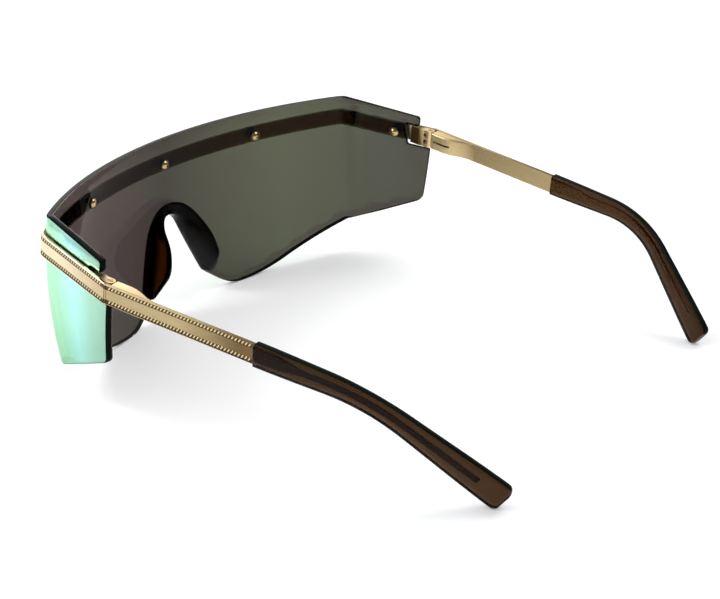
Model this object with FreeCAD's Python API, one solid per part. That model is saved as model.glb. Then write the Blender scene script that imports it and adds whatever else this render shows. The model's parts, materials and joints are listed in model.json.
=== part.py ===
import FreeCAD, Part
import math
import os

# Shield sunglasses, standing open on their lens and temple tips, in millimetres.
# +X is the wearer's left, -Y is the front of the lens, +Z is up.
# The pieces are drawn with Y = 0 at the lens creases, then moved to their bottom centre.

V = FreeCAD.Vector

# Lens
LENS_THICKNESS = 2.2
FRONT_RADIUS = 115.0        # plan radius of the outer face
CREASE_HALF_WIDTH = 66.5    # from the middle to each crease
CREASE_RADIUS = 1.6         # rounding of the outer face along the crease
LEAST_ROUNDING = 0.2        # a crease that would be rounded by less is left sharp
WING_SPLAY = 12.0           # degrees that a wing opens outward, going back
BOW_RADIUS = 150.0          # vertical bow of the outer face
BOW_HEIGHT = 26.4           # height where the outer face stands furthest forward
LENS_TOP = 54.6             # top edge at the creases
TOP_ARCH = 0.8              # rise of the top edge from the creases to the middle
LOBE_FROM_NOTCH = 9.8       # lowest point of each lower lobe, outward of the notch flank's line
LOBE_OUTER_ROUNDING = 48.0
LOBE_INNER_ROUNDING = 11.8
LOBE_RISE = 19.6            # degrees, lower edge from the lobe out to the crease
LOBE_INNER_RISE = 39.3      # degrees, lower edge from the lobe in to the notch
NOTCH_PEAK = 39.3           # where the two notch flanks would meet
NOTCH_HALF_ANGLE = 21.8     # degrees from vertical
NOTCH_ROUNDING = 5.4
NOTCH_FOOT_ROUNDING = 1.5
WING_BOTTOM_RISE = 17.8     # degrees, lower edge of the wing going back
WING_TOP_FALL = 11.0        # degrees, upper edge of the wing going back
WING_LENGTH = 29.0          # from the crease to the upper rear corner
WING_STEP = 1.8             # the lower rear corner stands this much further forward
REAR_EDGE_LEAN = 12.0       # degrees that the rear edge leans back, going up
REAR_LOWER_ROUNDING = 3.0
REAR_UPPER_ROUNDING = 1.0

# Brow bar
BAND_HEIGHT = 5.8           # height of the bar and of the temples
BAND_SLOPE = 9.5            # degrees that the band falls, going back
BAR_THICKNESS = 0.9
BAR_STANDOFF = 0.5          # gap between the lens and the bar
BAR_BELOW_TOP = 7.4         # centre line below the lens's top edge
JOINT_BEHIND_WING = 3.0     # from the wing's upper rear corner to where the temple starts
JOINT_GAP = 0.2             # between the bar's end and the temple

# Slot in each wing that the end piece passes through
SLOT_ROOM = 2.1             # in front of the end piece
SLOT_BELOW_BAND = 0.9
SLOT_ABOVE_BAND = 0.4
SLOT_ROUNDING = 0.5

# Lens screws
FRONT_SCREW_X = 36.3
WING_SCREW_TO_SLOT = 3.5
SCREW_SHANK_RADIUS = 0.6
SCREW_HEAD_RADIUS = 1.4
SCREW_HEAD_HEIGHT = 0.8
SCREW_SOCKET_RADIUS = 0.5
SCREW_SOCKET_DEPTH = 0.4
BAR_WEB = 0.3               # metal left in the bar beyond the screw's end
BUSH_WALL = 0.4
BUSH_FLANGE = 0.3
FLANGE_RIM = 0.3            # flanges and spacers reach this far beyond the screw's head
FIT_GAP = 0.03              # between pieces that are screwed together

# Temples
TEMPLE_THICKNESS = 0.9
TEMPLE_EDGE = 0.2           # rounding of the long edges
TEMPLE_TOE_IN = 4.9         # degrees that each temple runs inward, going back
TEMPLE_TO_SLEEVE = 47.3     # visible metal, from the joint
SLEEVE_TO_BEND = 20.9       # from the sleeve's front to where the tip starts to bend
BEND_RADIUS = 33.0
BEND_ANGLE = 38.2
BEND_ROLL = 31.0            # degrees that the bend turns inward from straight down
TIP_STRAIGHT = 28.9         # from the end of the bend to the tip's end

# Temple tips
SLEEVE_START_HEIGHT = 6.5
SLEEVE_WAIST_HEIGHT = 5.3   # in the middle of the bend
SLEEVE_END_HEIGHT = 7.8
SLEEVE_THICKNESS = 2.9
SLEEVE_ROUNDING = 0.9
SLEEVE_END_ROUNDING = 1.8
CORE_HEIGHT = 4.2           # flat of the core next to the temple
CORE_WIRE_HEIGHT = 1.6      # wire end of the core
CORE_THICKNESS = 0.7
CORE_FLAT_LENGTH = 8.0
CORE_TAPER_LENGTH = 7.0
CORE_SHORT_OF_END = 8.0
CORE_BEND_STEPS = 4
CORE_GAP = 0.05

# Hinges
PIN_RADIUS = 0.55
PIN_CLEARANCE = 0.05
PIN_HEAD_RIM = 0.4          # head beyond the shank
PIN_HEAD_HEIGHT = 0.5
PIN_SLOT_WIDTH = 0.3
PIN_SLOT_DEPTH = 0.25
KNUCKLE_WALL = 0.8
KNUCKLE_COUNT = 5
KNUCKLE_GAP = 0.06
KNUCKLE_INSET = 0.1         # ends of the stack inside the band's edges
KNUCKLE_TO_TEMPLE = 0.35
HINGE_RELIEF = 0.3          # round the turning knuckles
END_PIECE_LENGTH = 6.5      # forward of the joint
HOUSING_INSET = 0.2         # inside the band's edges
HOUSING_WALL = 0.35
HOUSING_END_WALL = 0.5
HOUSING_TAPER = 3.0
SPRING_BORE_RADIUS = 1.05
SLIDER_THICKNESS = 1.5
SLIDER_IN_HOUSING = 1.4
SLIDER_CLEARANCE = 0.06
ROD_RADIUS = 0.4
ROD_LENGTH = 3.7
ROD_END_ROOM = 0.3          # from the rod's end to the bore's end
ROD_HEAD_LENGTH = 0.5
ROD_HEAD_CLEARANCE = 0.2
COLLAR_LENGTH = 0.5
COLLAR_CLEARANCE = 0.05
SPRING_WIRE_RADIUS = 0.14
SPRING_TURNS = 4
SLIT_LENGTH = 3.4
SLIT_WIDTH = 0.6

# Nose bridge
BRIDGE_LINING = 0.8         # lining of the notch
BRIDGE_FLANGE = 4.2         # width of the rear flange beyond the notch edge
BRIDGE_LIP = 1.0            # width of the front lip beyond the notch edge
BRIDGE_LIP_THICKNESS = 0.7
BRIDGE_FLANGE_THICKNESS = 1.6
PAD_THICKNESS = 1.6
PAD_REACH = 10.0            # behind the lens, where the upper and lower rim would meet
PAD_TOP_REACH = 4.2         # behind the lens, at the upper end
PAD_FOOT_REACH = 2.5        # behind the lens, at the lower end
PAD_RIM_ROUNDING = 5.0
PAD_SPLAY = 16.0            # degrees that each pad opens outward, going back
PAD_BELOW_PEAK = 10.3       # upper end of the pads below the notch's peak
PAD_DEEPEST = 10.5          # where the pads reach furthest back, above the notch's foot

# Room beyond the lens for the cutting solids
CUT_ROOM = 6.6


def sin(angle):
    return math.sin(math.radians(angle))


def cos(angle):
    return math.cos(math.radians(angle))


def tan(angle):
    return math.tan(math.radians(angle))


# Places that follow from the driving dimensions

CUT_LOW = -CUT_ROOM
CUT_HIGH = LENS_TOP + TOP_ARCH + CUT_ROOM
REACH = 2 * (CREASE_HALF_WIDTH + WING_LENGTH)
AXIS_Y = math.sqrt(FRONT_RADIUS ** 2 - CREASE_HALF_WIDTH ** 2)
WING_NORMAL = V(cos(WING_SPLAY), -sin(WING_SPLAY), 0)
WING_ALONG = V(sin(WING_SPLAY), cos(WING_SPLAY), 0)
NOTCH_LEAN = tan(NOTCH_HALF_ANGLE)
NOTCH_BASE_X = NOTCH_PEAK * NOTCH_LEAN
LOBE_X = NOTCH_BASE_X + LOBE_FROM_NOTCH
LOBE_OUTER_X = LOBE_X + LOBE_OUTER_ROUNDING * tan(LOBE_RISE / 2)
LOBE_INNER_X = LOBE_X - LOBE_INNER_ROUNDING * tan(LOBE_INNER_RISE / 2)
FOOT_RISE = tan(LOBE_INNER_RISE)
NOTCH_FOOT = FOOT_RISE * (LOBE_INNER_X - NOTCH_BASE_X) / (1 - FOOT_RISE * NOTCH_LEAN)
LOWER_CREASE_Z = (CREASE_HALF_WIDTH - LOBE_OUTER_X) * tan(LOBE_RISE)
WING_LOWER_LENGTH = WING_LENGTH - WING_STEP
LOWER_REAR_Z = LOWER_CREASE_Z + WING_LOWER_LENGTH * tan(WING_BOTTOM_RISE)
UPPER_REAR_Z = LENS_TOP - WING_LENGTH * tan(WING_TOP_FALL)
BAR_CENTRE_HEIGHT = LENS_TOP - BAR_BELOW_TOP
JOINT_Y = WING_LENGTH + JOINT_BEHIND_WING
SLOT_FRONT = JOINT_Y - END_PIECE_LENGTH - SLOT_ROOM
WING_SCREW_Y = SLOT_FRONT - WING_SCREW_TO_SLOT


def bow_drop(height, offset=0.0):
    """How far the face at this offset stands back, at a height, from its furthest point."""
    radius = BOW_RADIUS + offset
    return radius - math.sqrt(radius ** 2 - (height - BOW_HEIGHT) ** 2)


def tilted(normal, height):
    """A horizontal face normal, tilted by the bow at a height."""
    lean = math.asin((height - BOW_HEIGHT) / BOW_RADIUS)
    return normal * math.cos(lean) + V(0, 0, math.sin(lean))


def front_place(x, height, offset=0.0):
    """Point and outward normal on the front of the lens."""
    radius = FRONT_RADIUS + offset - bow_drop(height, offset)
    y = AXIS_Y - math.sqrt(radius ** 2 - x ** 2)
    return V(x, y, height), tilted(V(x / radius, (y - AXIS_Y) / radius, 0), height)


def wing_place(y, height, offset=0.0):
    """Point and outward normal on the left wing of the lens."""
    distance = CREASE_HALF_WIDTH * cos(WING_SPLAY) + offset - bow_drop(height, offset)
    along = (y + sin(WING_SPLAY) * distance) / cos(WING_SPLAY)
    return WING_NORMAL * distance + WING_ALONG * along + V(0, 0, height), tilted(WING_NORMAL, height)


def band_height_at(y):
    """Height of the band's centre line beside a wing."""
    return BAR_CENTRE_HEIGHT - max(y, 0.0) * tan(BAND_SLOPE)


# Drawing helpers

def rounded_wire(corners, to_space):
    """Closed wire through (u, v, rounding) corners, placed by to_space(u, v)."""
    count = len(corners)
    stops = []
    for index, (u, v, rounding) in enumerate(corners):
        here = V(u, v, 0)
        before = V(*corners[index - 1][:2], 0) - here
        after = V(*corners[(index + 1) % count][:2], 0) - here
        before.normalize()
        after.normalize()
        half = before.getAngle(after) / 2
        if rounding == 0:
            stops.append((here, None, here))
            continue
        run = rounding / math.tan(half)
        bisector = (before + after).normalize()
        middle = here + bisector * (rounding / math.sin(half) - rounding)
        stops.append((here + before * run, middle, here + after * run))
    edges = []
    for index, (start, middle, end) in enumerate(stops):
        if middle is not None:
            arc = [to_space(point.x, point.y) for point in (start, middle, end)]
            edges.append(Part.Arc(*arc).toShape())
        following = stops[(index + 1) % count][0]
        if end.distanceToPoint(following) > 1e-6:
            line = Part.LineSegment(to_space(end.x, end.y), to_space(following.x, following.y))
            edges.append(line.toShape())
    return Part.Wire(edges)


def front_prism(corners, rear):
    """Front-view outline (x, z, rounding), carried through the depth as far as a rear plane."""
    wire = rounded_wire(corners, lambda x, z: V(x, -REACH, z))
    return Part.Face(wire).extrude(V(0, REACH + rear, 0))


def side_prism(corners):
    """Side-view outline (y, z, rounding), carried through the whole width."""
    wire = rounded_wire(corners, lambda y, z: V(-REACH, y, z))
    return Part.Face(wire).extrude(V(2 * REACH, 0, 0))


def plan_prism(corners, low, high):
    """Plan-view outline (x, y, rounding), between two heights."""
    wire = rounded_wire(corners, lambda x, y: V(x, y, low))
    return Part.Face(wire).extrude(V(0, 0, high - low))


def box(low, high):
    size = V(*high) - V(*low)
    return Part.makeBox(size.x, size.y, size.z, V(*low))


def cylinder(radius, low, high, centre=(0, 0)):
    """Cylinder along Z between two heights."""
    return Part.makeCylinder(radius, high - low, V(*centre, low))


def rod(radius, start, end, centre):
    """Cylinder along Y at centre (x, z)."""
    return Part.makeCylinder(radius, end - start, V(centre[0], start, centre[1]), V(0, 1, 0))


def ring(inner, outer, low, high):
    return cylinder(outer, low, high).cut(cylinder(inner, low, high))


def fused(shapes):
    return shapes[0].fuse(shapes[1:]).removeSplitter()


def mirrored(shape):
    return shape.mirror(V(0, 0, 0), V(1, 0, 0))


# Lens

def envelope(offset):
    """Everything inside the lens's outer face, with the face moved outward by an offset."""
    front_edge = FRONT_RADIUS + offset
    low = front_edge - bow_drop(CUT_LOW, offset)
    high = front_edge - bow_drop(CUT_HIGH, offset)
    profile = [
        Part.LineSegment(V(0, AXIS_Y, CUT_LOW), V(low, AXIS_Y, CUT_LOW)),
        Part.Arc(V(low, AXIS_Y, CUT_LOW), V(front_edge, AXIS_Y, BOW_HEIGHT), V(high, AXIS_Y, CUT_HIGH)),
        Part.LineSegment(V(high, AXIS_Y, CUT_HIGH), V(0, AXIS_Y, CUT_HIGH)),
        Part.LineSegment(V(0, AXIS_Y, CUT_HIGH), V(0, AXIS_Y, CUT_LOW)),
    ]
    face = Part.Face(Part.Wire([curve.toShape() for curve in profile]))
    solid = face.revolve(V(0, AXIS_Y, 0), V(0, 0, 1), 360)

    edge = CREASE_HALF_WIDTH * cos(WING_SPLAY) + offset
    low = edge - bow_drop(CUT_LOW, offset)
    high = edge - bow_drop(CUT_HIGH, offset)
    start = WING_ALONG * -REACH

    def across(distance, height):
        return start + WING_NORMAL * distance + V(0, 0, height)

    profile = [
        Part.LineSegment(across(-REACH, CUT_LOW), across(low, CUT_LOW)),
        Part.Arc(across(low, CUT_LOW), across(edge, BOW_HEIGHT), across(high, CUT_HIGH)),
        Part.LineSegment(across(high, CUT_HIGH), across(-REACH, CUT_HIGH)),
        Part.LineSegment(across(-REACH, CUT_HIGH), across(-REACH, CUT_LOW)),
    ]
    face = Part.Face(Part.Wire([curve.toShape() for curve in profile]))
    wing = face.extrude(WING_ALONG * (2 * REACH))
    solid = solid.common(wing).common(mirrored(wing))

    rounding = CREASE_RADIUS + offset
    if rounding < LEAST_ROUNDING:
        return solid
    return solid.makeFillet(rounding, [edge for edge in solid.Edges if is_crease(edge)])


def is_crease(edge):
    """True for the two upright edges where the front meets a wing."""
    upright = edge.BoundBox.ZLength > (CUT_HIGH - CUT_LOW) / 2
    return upright and edge.CenterOfMass.y < AXIS_Y / 2


def shell(inner, outer):
    """Layer that follows the lens between two offsets from its outer face."""
    return envelope(outer).cut(envelope(inner))


def notch_corner(grow):
    """Peak height and rounding of the notch outline, grown outward."""
    return NOTCH_PEAK + grow / sin(NOTCH_HALF_ANGLE), NOTCH_ROUNDING + grow


def notch_half_width(height, grow=0.0):
    return (notch_corner(grow)[0] - height) * tan(NOTCH_HALF_ANGLE)


def lens_front_outline():
    half_arch = CREASE_HALF_WIDTH + WING_LENGTH
    arch_radius = (CREASE_HALF_WIDTH ** 2 + TOP_ARCH ** 2) / (2 * TOP_ARCH)
    slope = math.asin(half_arch / arch_radius)
    tip = LENS_TOP + TOP_ARCH + arch_radius * (1 / math.cos(slope) - 1)
    shoulder = tip - REACH * math.tan(slope)
    right = [
        (REACH, (REACH - LOBE_OUTER_X) * tan(LOBE_RISE), 0),
        (LOBE_OUTER_X, 0, LOBE_OUTER_ROUNDING),
        (LOBE_INNER_X, 0, LOBE_INNER_ROUNDING),
        (notch_half_width(NOTCH_FOOT), NOTCH_FOOT, NOTCH_FOOT_ROUNDING),
    ]
    left = [(-x, z, rounding) for x, z, rounding in reversed(right)]
    peak, rounding = notch_corner(0.0)
    top = [(-REACH, shoulder, 0), (0, tip, arch_radius), (REACH, shoulder, 0)]
    return right + [(0, peak, rounding)] + left + top


def slot_line(y, side):
    """Height of the slot's lower (-1) or upper (+1) edge."""
    room = SLOT_ABOVE_BAND if side > 0 else SLOT_BELOW_BAND
    return band_height_at(y) + side * (BAND_HEIGHT / 2 + room) / cos(BAND_SLOPE)


def rear_edge_at_slot():
    """Where the leaning rear edge below the bar meets the slot's lower edge."""
    lean = tan(REAR_EDGE_LEAN)
    slope = tan(BAND_SLOPE)
    rise = slot_line(0.0, -1) - LOWER_REAR_Z - WING_LOWER_LENGTH * slope
    return WING_LOWER_LENGTH + rise * lean / (1 + slope * lean)


def lens_side_outline():
    lower_y = rear_edge_at_slot()
    upper_y = WING_LENGTH - (UPPER_REAR_Z - slot_line(WING_LENGTH, 1)) * tan(REAR_EDGE_LEAN)
    return [
        (-REACH, 2 * CUT_LOW, 0),
        (0, 2 * CUT_LOW, 0),
        (0, LOWER_CREASE_Z, 0),
        (WING_LOWER_LENGTH, LOWER_REAR_Z, REAR_LOWER_ROUNDING),
        (lower_y, slot_line(lower_y, -1), SLOT_ROUNDING),
        (SLOT_FRONT, slot_line(SLOT_FRONT, -1), SLOT_ROUNDING),
        (SLOT_FRONT, slot_line(SLOT_FRONT, 1), SLOT_ROUNDING),
        (upper_y, slot_line(upper_y, 1), SLOT_ROUNDING),
        (WING_LENGTH, UPPER_REAR_Z, REAR_UPPER_ROUNDING),
        (LENS_THICKNESS, LENS_TOP - LENS_THICKNESS * tan(WING_TOP_FALL), 0),
        (LENS_THICKNESS, 2 * CUT_HIGH, 0),
        (-REACH, 2 * CUT_HIGH, 0),
    ]


def screw_places():
    """Point on the outer face and outward normal of each lens screw."""
    places = [front_place(x, BAR_CENTRE_HEIGHT) for x in (-FRONT_SCREW_X, 0.0, FRONT_SCREW_X)]
    point, normal = wing_place(WING_SCREW_Y, band_height_at(WING_SCREW_Y))
    places.append((point, normal))
    places.append((V(-point.x, point.y, point.z), V(-normal.x, normal.y, normal.z)))
    return places


def at_screws(shape):
    """Copies of a shape drawn along +Z outward from the lens's outer face, one at each screw."""
    copies = []
    for point, normal in screw_places():
        copy = shape.copy()
        copy.Placement = FreeCAD.Placement(point, FreeCAD.Rotation(V(0, 0, 1), normal))
        copies.append(copy)
    return copies


def shield_lens():
    blank = shell(-LENS_THICKNESS, 0.0)
    blank = blank.common(front_prism(lens_front_outline(), REACH))
    blank = blank.common(side_prism(lens_side_outline()))
    hole = cylinder(BUSH_RADIUS + FIT_GAP, -2 * LENS_THICKNESS, LENS_THICKNESS)
    return blank.cut(at_screws(hole))


# Brow bar and lens screws

BUSH_RADIUS = SCREW_SHANK_RADIUS + BUSH_WALL
FLANGE_RADIUS = SCREW_HEAD_RADIUS + FLANGE_RIM
THREAD_END = BAR_STANDOFF + BAR_THICKNESS - BAR_WEB


def brow_bar():
    half = BAND_HEIGHT / 2
    end = JOINT_Y + BAND_HEIGHT
    half_sloped = half / cos(BAND_SLOPE)
    band = [
        (-REACH, BAR_CENTRE_HEIGHT - half, 0),
        (0, BAR_CENTRE_HEIGHT - half, 0),
        (end, band_height_at(end) - half_sloped, 0),
        (end, band_height_at(end) + half_sloped, 0),
        (0, BAR_CENTRE_HEIGHT + half, 0),
        (-REACH, BAR_CENTRE_HEIGHT + half, 0),
    ]
    bar = shell(BAR_STANDOFF, BAR_STANDOFF + BAR_THICKNESS).common(side_prism(band))
    beyond = at_left_joint(box((-REACH, -JOINT_GAP / 2, -REACH), (REACH, REACH, REACH)))
    left_side = box((0, -REACH, -REACH), (REACH, REACH, REACH))
    left_bar = bar.common(left_side).cut(beyond)
    hole = cylinder(SCREW_SHANK_RADIUS + FIT_GAP, 0, THREAD_END + FIT_GAP)
    return fused([left_bar, mirrored(left_bar)]).cut(at_screws(hole))


def lens_screw():
    head_base = -LENS_THICKNESS - 2 * FIT_GAP - BUSH_FLANGE
    head_top = head_base - SCREW_HEAD_HEIGHT
    dome_radius = (SCREW_HEAD_RADIUS ** 2 + SCREW_HEAD_HEIGHT ** 2) / (2 * SCREW_HEAD_HEIGHT)
    half_turn = math.asin(SCREW_HEAD_RADIUS / dome_radius) / 2
    halfway = V(dome_radius * math.sin(half_turn), 0, head_top + dome_radius * (1 - math.cos(half_turn)))
    profile = [
        Part.LineSegment(V(0, 0, head_base), V(SCREW_HEAD_RADIUS, 0, head_base)),
        Part.Arc(V(SCREW_HEAD_RADIUS, 0, head_base), halfway, V(0, 0, head_top)),
        Part.LineSegment(V(0, 0, head_top), V(0, 0, head_base)),
    ]
    head = Part.Face(Part.Wire([curve.toShape() for curve in profile])).revolve(V(0, 0, 0), V(0, 0, 1), 360)
    shank = cylinder(SCREW_SHANK_RADIUS, head_base, THREAD_END)
    corners = [
        (SCREW_SOCKET_RADIUS * cos(60 * step), SCREW_SOCKET_RADIUS * sin(60 * step), 0) for step in range(6)
    ]
    socket = plan_prism(corners, head_top - SCREW_HEAD_HEIGHT, head_top + SCREW_SOCKET_DEPTH)
    return fused([head, shank]).cut(socket)


def lens_bush():
    inner_face = -LENS_THICKNESS - FIT_GAP
    bore = SCREW_SHANK_RADIUS + FIT_GAP
    sleeve = ring(bore, BUSH_RADIUS, inner_face, -FIT_GAP)
    flange = ring(bore, FLANGE_RADIUS, inner_face - BUSH_FLANGE, inner_face)
    return fused([sleeve, flange])


def bar_spacer():
    return ring(SCREW_SHANK_RADIUS + FIT_GAP, FLANGE_RADIUS, FIT_GAP, BAR_STANDOFF - FIT_GAP)


# Left joint frame: X outward from the band's outer face, Y back along the temple, Z up along the pin

TEMPLE_OUT = V(cos(TEMPLE_TOE_IN), sin(TEMPLE_TOE_IN), 0)
TEMPLE_ALONG = V(
    -sin(TEMPLE_TOE_IN) * cos(BAND_SLOPE),
    cos(TEMPLE_TOE_IN) * cos(BAND_SLOPE),
    -sin(BAND_SLOPE),
)
TEMPLE_UP = TEMPLE_OUT.cross(TEMPLE_ALONG)
JOINT_POINT = wing_place(JOINT_Y, band_height_at(JOINT_Y), BAR_STANDOFF + BAR_THICKNESS)[0]


def joint_placement():
    matrix = FreeCAD.Matrix(
        TEMPLE_OUT.x, TEMPLE_ALONG.x, TEMPLE_UP.x, JOINT_POINT.x,
        TEMPLE_OUT.y, TEMPLE_ALONG.y, TEMPLE_UP.y, JOINT_POINT.y,
        TEMPLE_OUT.z, TEMPLE_ALONG.z, TEMPLE_UP.z, JOINT_POINT.z,
        0, 0, 0, 1,
    )
    return FreeCAD.Placement(matrix)


def at_left_joint(shape):
    """A shape drawn in the left joint's frame, put in place."""
    placed = shape.copy()
    placed.Placement = joint_placement().multiply(placed.Placement)
    return placed


# Hinges, drawn in the left joint's frame

KNUCKLE_RADIUS = PIN_RADIUS + KNUCKLE_WALL
PIN_X = -TEMPLE_THICKNESS - KNUCKLE_TO_TEMPLE - KNUCKLE_RADIUS
PIN_HEAD_RADIUS = PIN_RADIUS + PIN_HEAD_RIM
STACK_HALF_HEIGHT = BAND_HEIGHT / 2 - KNUCKLE_INSET
KNUCKLE_HEIGHT = (2 * STACK_HALF_HEIGHT - (KNUCKLE_COUNT - 1) * KNUCKLE_GAP) / KNUCKLE_COUNT
FIXED_KNUCKLES = range(0, KNUCKLE_COUNT, 2)
SLIDER_KNUCKLES = range(1, KNUCKLE_COUNT, 2)
HOUSING_INNER_X = PIN_X - SPRING_BORE_RADIUS - HOUSING_WALL
HOUSING_START = KNUCKLE_RADIUS + HINGE_RELIEF
SLIDER_END = HOUSING_START + SLIDER_IN_HOUSING
ROD_END = SLIDER_END + ROD_LENGTH
ROD_HEAD_START = ROD_END - ROD_HEAD_LENGTH
BORE_END = ROD_END + ROD_END_ROOM
COLLAR_START = SLIDER_END + 2 * SLIDER_CLEARANCE
COLLAR_END = COLLAR_START + COLLAR_LENGTH


def knuckle_span(index):
    """Lower and upper end of one knuckle, counted from the bottom."""
    low = -STACK_HALF_HEIGHT + index * (KNUCKLE_HEIGHT + KNUCKLE_GAP)
    return low, low + KNUCKLE_HEIGHT


def slider_heights():
    return knuckle_span(SLIDER_KNUCKLES[0])[0], knuckle_span(SLIDER_KNUCKLES[-1])[1]


def knuckles(indices, arm_start, arm_end, arm_thickness):
    """Knuckles round the pin axis, each with an arm along Y."""
    pieces = []
    half = arm_thickness / 2
    for index in indices:
        low, high = knuckle_span(index)
        pieces.append(cylinder(KNUCKLE_RADIUS, low, high, (PIN_X, 0)))
        pieces.append(box((PIN_X - half, arm_start, low), (PIN_X + half, arm_end, high)))
    return pieces


def end_piece():
    """Block behind the bar's end, with the fixed knuckles; its outer side follows the bar."""
    block_end = min(-KNUCKLE_RADIUS, HOUSING_INNER_X - PIN_X) - HINGE_RELIEF
    inner_x = PIN_X - KNUCKLE_RADIUS
    lean = tan(WING_SPLAY + TEMPLE_TOE_IN)
    block = plan_prism(
        [
            (-PIN_X, block_end, 0),
            (inner_x, block_end, 0),
            (inner_x + lean * block_end, 2 * block_end, 0),
            (PIN_X - lean * END_PIECE_LENGTH, -END_PIECE_LENGTH, 0),
            (-PIN_X, -END_PIECE_LENGTH, 0),
        ],
        -STACK_HALF_HEIGHT,
        STACK_HALF_HEIGHT,
    )
    solid = fused([block] + knuckles(FIXED_KNUCKLES, block_end, 0, 2 * KNUCKLE_RADIUS))
    bore = cylinder(PIN_RADIUS + FIT_GAP, -STACK_HALF_HEIGHT, STACK_HALF_HEIGHT, (PIN_X, 0))
    seat_floor = STACK_HALF_HEIGHT - PIN_HEAD_HEIGHT - FIT_GAP
    seat = cylinder(PIN_HEAD_RADIUS + FIT_GAP, seat_floor, BAND_HEIGHT, (PIN_X, 0))
    return at_left_joint(solid.cut([bore, seat])).common(envelope(BAR_STANDOFF))


def hinge_screw():
    head_base = STACK_HALF_HEIGHT - PIN_HEAD_HEIGHT
    shank = cylinder(PIN_RADIUS, -STACK_HALF_HEIGHT, head_base, (PIN_X, 0))
    head = cylinder(PIN_HEAD_RADIUS, head_base, STACK_HALF_HEIGHT, (PIN_X, 0))
    slot = box(
        (PIN_X - PIN_SLOT_WIDTH / 2, -BAND_HEIGHT, STACK_HALF_HEIGHT - PIN_SLOT_DEPTH),
        (PIN_X + PIN_SLOT_WIDTH / 2, BAND_HEIGHT, BAND_HEIGHT),
    )
    return at_left_joint(fused([shank, head]).cut(slot))


def hinge_slider():
    half = SLIDER_THICKNESS / 2
    low, high = slider_heights()
    eyes = knuckles(SLIDER_KNUCKLES, 0, HOUSING_START, SLIDER_THICKNESS)
    neck_start = KNUCKLE_RADIUS + HINGE_RELIEF / 2
    neck = box((PIN_X - half, neck_start, low), (PIN_X + half, SLIDER_END, high))
    shaft = rod(ROD_RADIUS, SLIDER_END, ROD_END, (PIN_X, 0))
    head = rod(SPRING_BORE_RADIUS - ROD_HEAD_CLEARANCE, ROD_HEAD_START, ROD_END, (PIN_X, 0))
    bore = cylinder(PIN_RADIUS + PIN_CLEARANCE, low, high, (PIN_X, 0))
    return at_left_joint(fused(eyes + [neck, shaft, head]).cut(bore))


def spring_collar():
    """Disc that the spring bears on, with a lug that locks it in the housing's slit."""
    disc = rod(SPRING_BORE_RADIUS - FIT_GAP, COLLAR_START, COLLAR_END, (PIN_X, 0))
    lug_half = SLIT_WIDTH / 2 - FIT_GAP
    lug = box((HOUSING_INNER_X + FIT_GAP, COLLAR_START, -lug_half), (PIN_X, COLLAR_END, lug_half))
    hole = rod(ROD_RADIUS + COLLAR_CLEARANCE, COLLAR_START, COLLAR_END, (PIN_X, 0))
    return at_left_joint(fused([disc, lug]).cut(hole))


def hinge_spring():
    start = COLLAR_END + SPRING_WIRE_RADIUS + FIT_GAP
    length = ROD_HEAD_START - SPRING_WIRE_RADIUS - FIT_GAP - start
    mean_radius = (ROD_RADIUS + SPRING_BORE_RADIUS) / 2
    helix = Part.makeHelix(length / SPRING_TURNS, length, mean_radius)
    section = Part.Wire(Part.makeCircle(SPRING_WIRE_RADIUS, V(mean_radius, 0, 0), V(0, 1, 0)))
    coil = Part.Wire(helix.Edges).makePipeShell([section], True, True)
    coil.Placement = FreeCAD.Placement(V(PIN_X, start, 0), FreeCAD.Rotation(V(1, 0, 0), -90))
    return at_left_joint(coil)


def spring_housing():
    half_height = BAND_HEIGHT / 2 - HOUSING_INSET
    full_end = BORE_END + HOUSING_END_WALL
    solid = plan_prism(
        [
            (-TEMPLE_THICKNESS, HOUSING_START, 0),
            (HOUSING_INNER_X, HOUSING_START, 0),
            (HOUSING_INNER_X, full_end, HOUSING_TAPER),
            (-TEMPLE_THICKNESS, full_end + HOUSING_TAPER, 0),
        ],
        -half_height,
        half_height,
    )
    half = SLIDER_THICKNESS / 2 + SLIDER_CLEARANCE
    low, high = slider_heights()
    channel = box(
        (PIN_X - half, 0, low - SLIDER_CLEARANCE),
        (PIN_X + half, SLIDER_END + SLIDER_CLEARANCE, high + SLIDER_CLEARANCE),
    )
    bore = rod(SPRING_BORE_RADIUS, SLIDER_END, BORE_END, (PIN_X, 0))
    slit = box(
        (2 * HOUSING_INNER_X, COLLAR_START, -SLIT_WIDTH / 2),
        (PIN_X, COLLAR_START + SLIT_LENGTH, SLIT_WIDTH / 2),
    )
    return at_left_joint(solid.cut([channel, bore, slit]))


# Temples, drawn in the left joint's frame

TEMPLE_TO_BEND = TEMPLE_TO_SLEEVE + SLEEVE_TO_BEND
BEND_LENGTH = math.radians(BEND_ANGLE) * BEND_RADIUS
BEND_END = TEMPLE_TO_BEND + BEND_LENGTH
TEMPLE_END = BEND_END + TIP_STRAIGHT
WAIST = TEMPLE_TO_BEND + BEND_LENGTH / 2


def path_place(distance):
    """Point, outward and upward direction of the temple's centre line, at a distance from the joint."""
    centre_x = -TEMPLE_THICKNESS / 2
    toward = V(-sin(BEND_ROLL), 0, -cos(BEND_ROLL))
    axis = V(0, 1, 0).cross(toward)
    if distance <= TEMPLE_TO_BEND:
        return V(centre_x, distance, 0), V(1, 0, 0), V(0, 0, 1)
    turned = min((distance - TEMPLE_TO_BEND) / BEND_LENGTH, 1.0) * BEND_ANGLE
    turn = FreeCAD.Rotation(axis, turned)
    point = V(centre_x, TEMPLE_TO_BEND, 0)
    point += V(0, 1, 0) * (BEND_RADIUS * sin(turned)) + toward * (BEND_RADIUS * (1 - cos(turned)))
    beyond = max(distance - BEND_END, 0.0)
    point += turn.multVec(V(0, 1, 0)) * beyond
    return point, turn.multVec(V(1, 0, 0)), turn.multVec(V(0, 0, 1))


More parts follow.
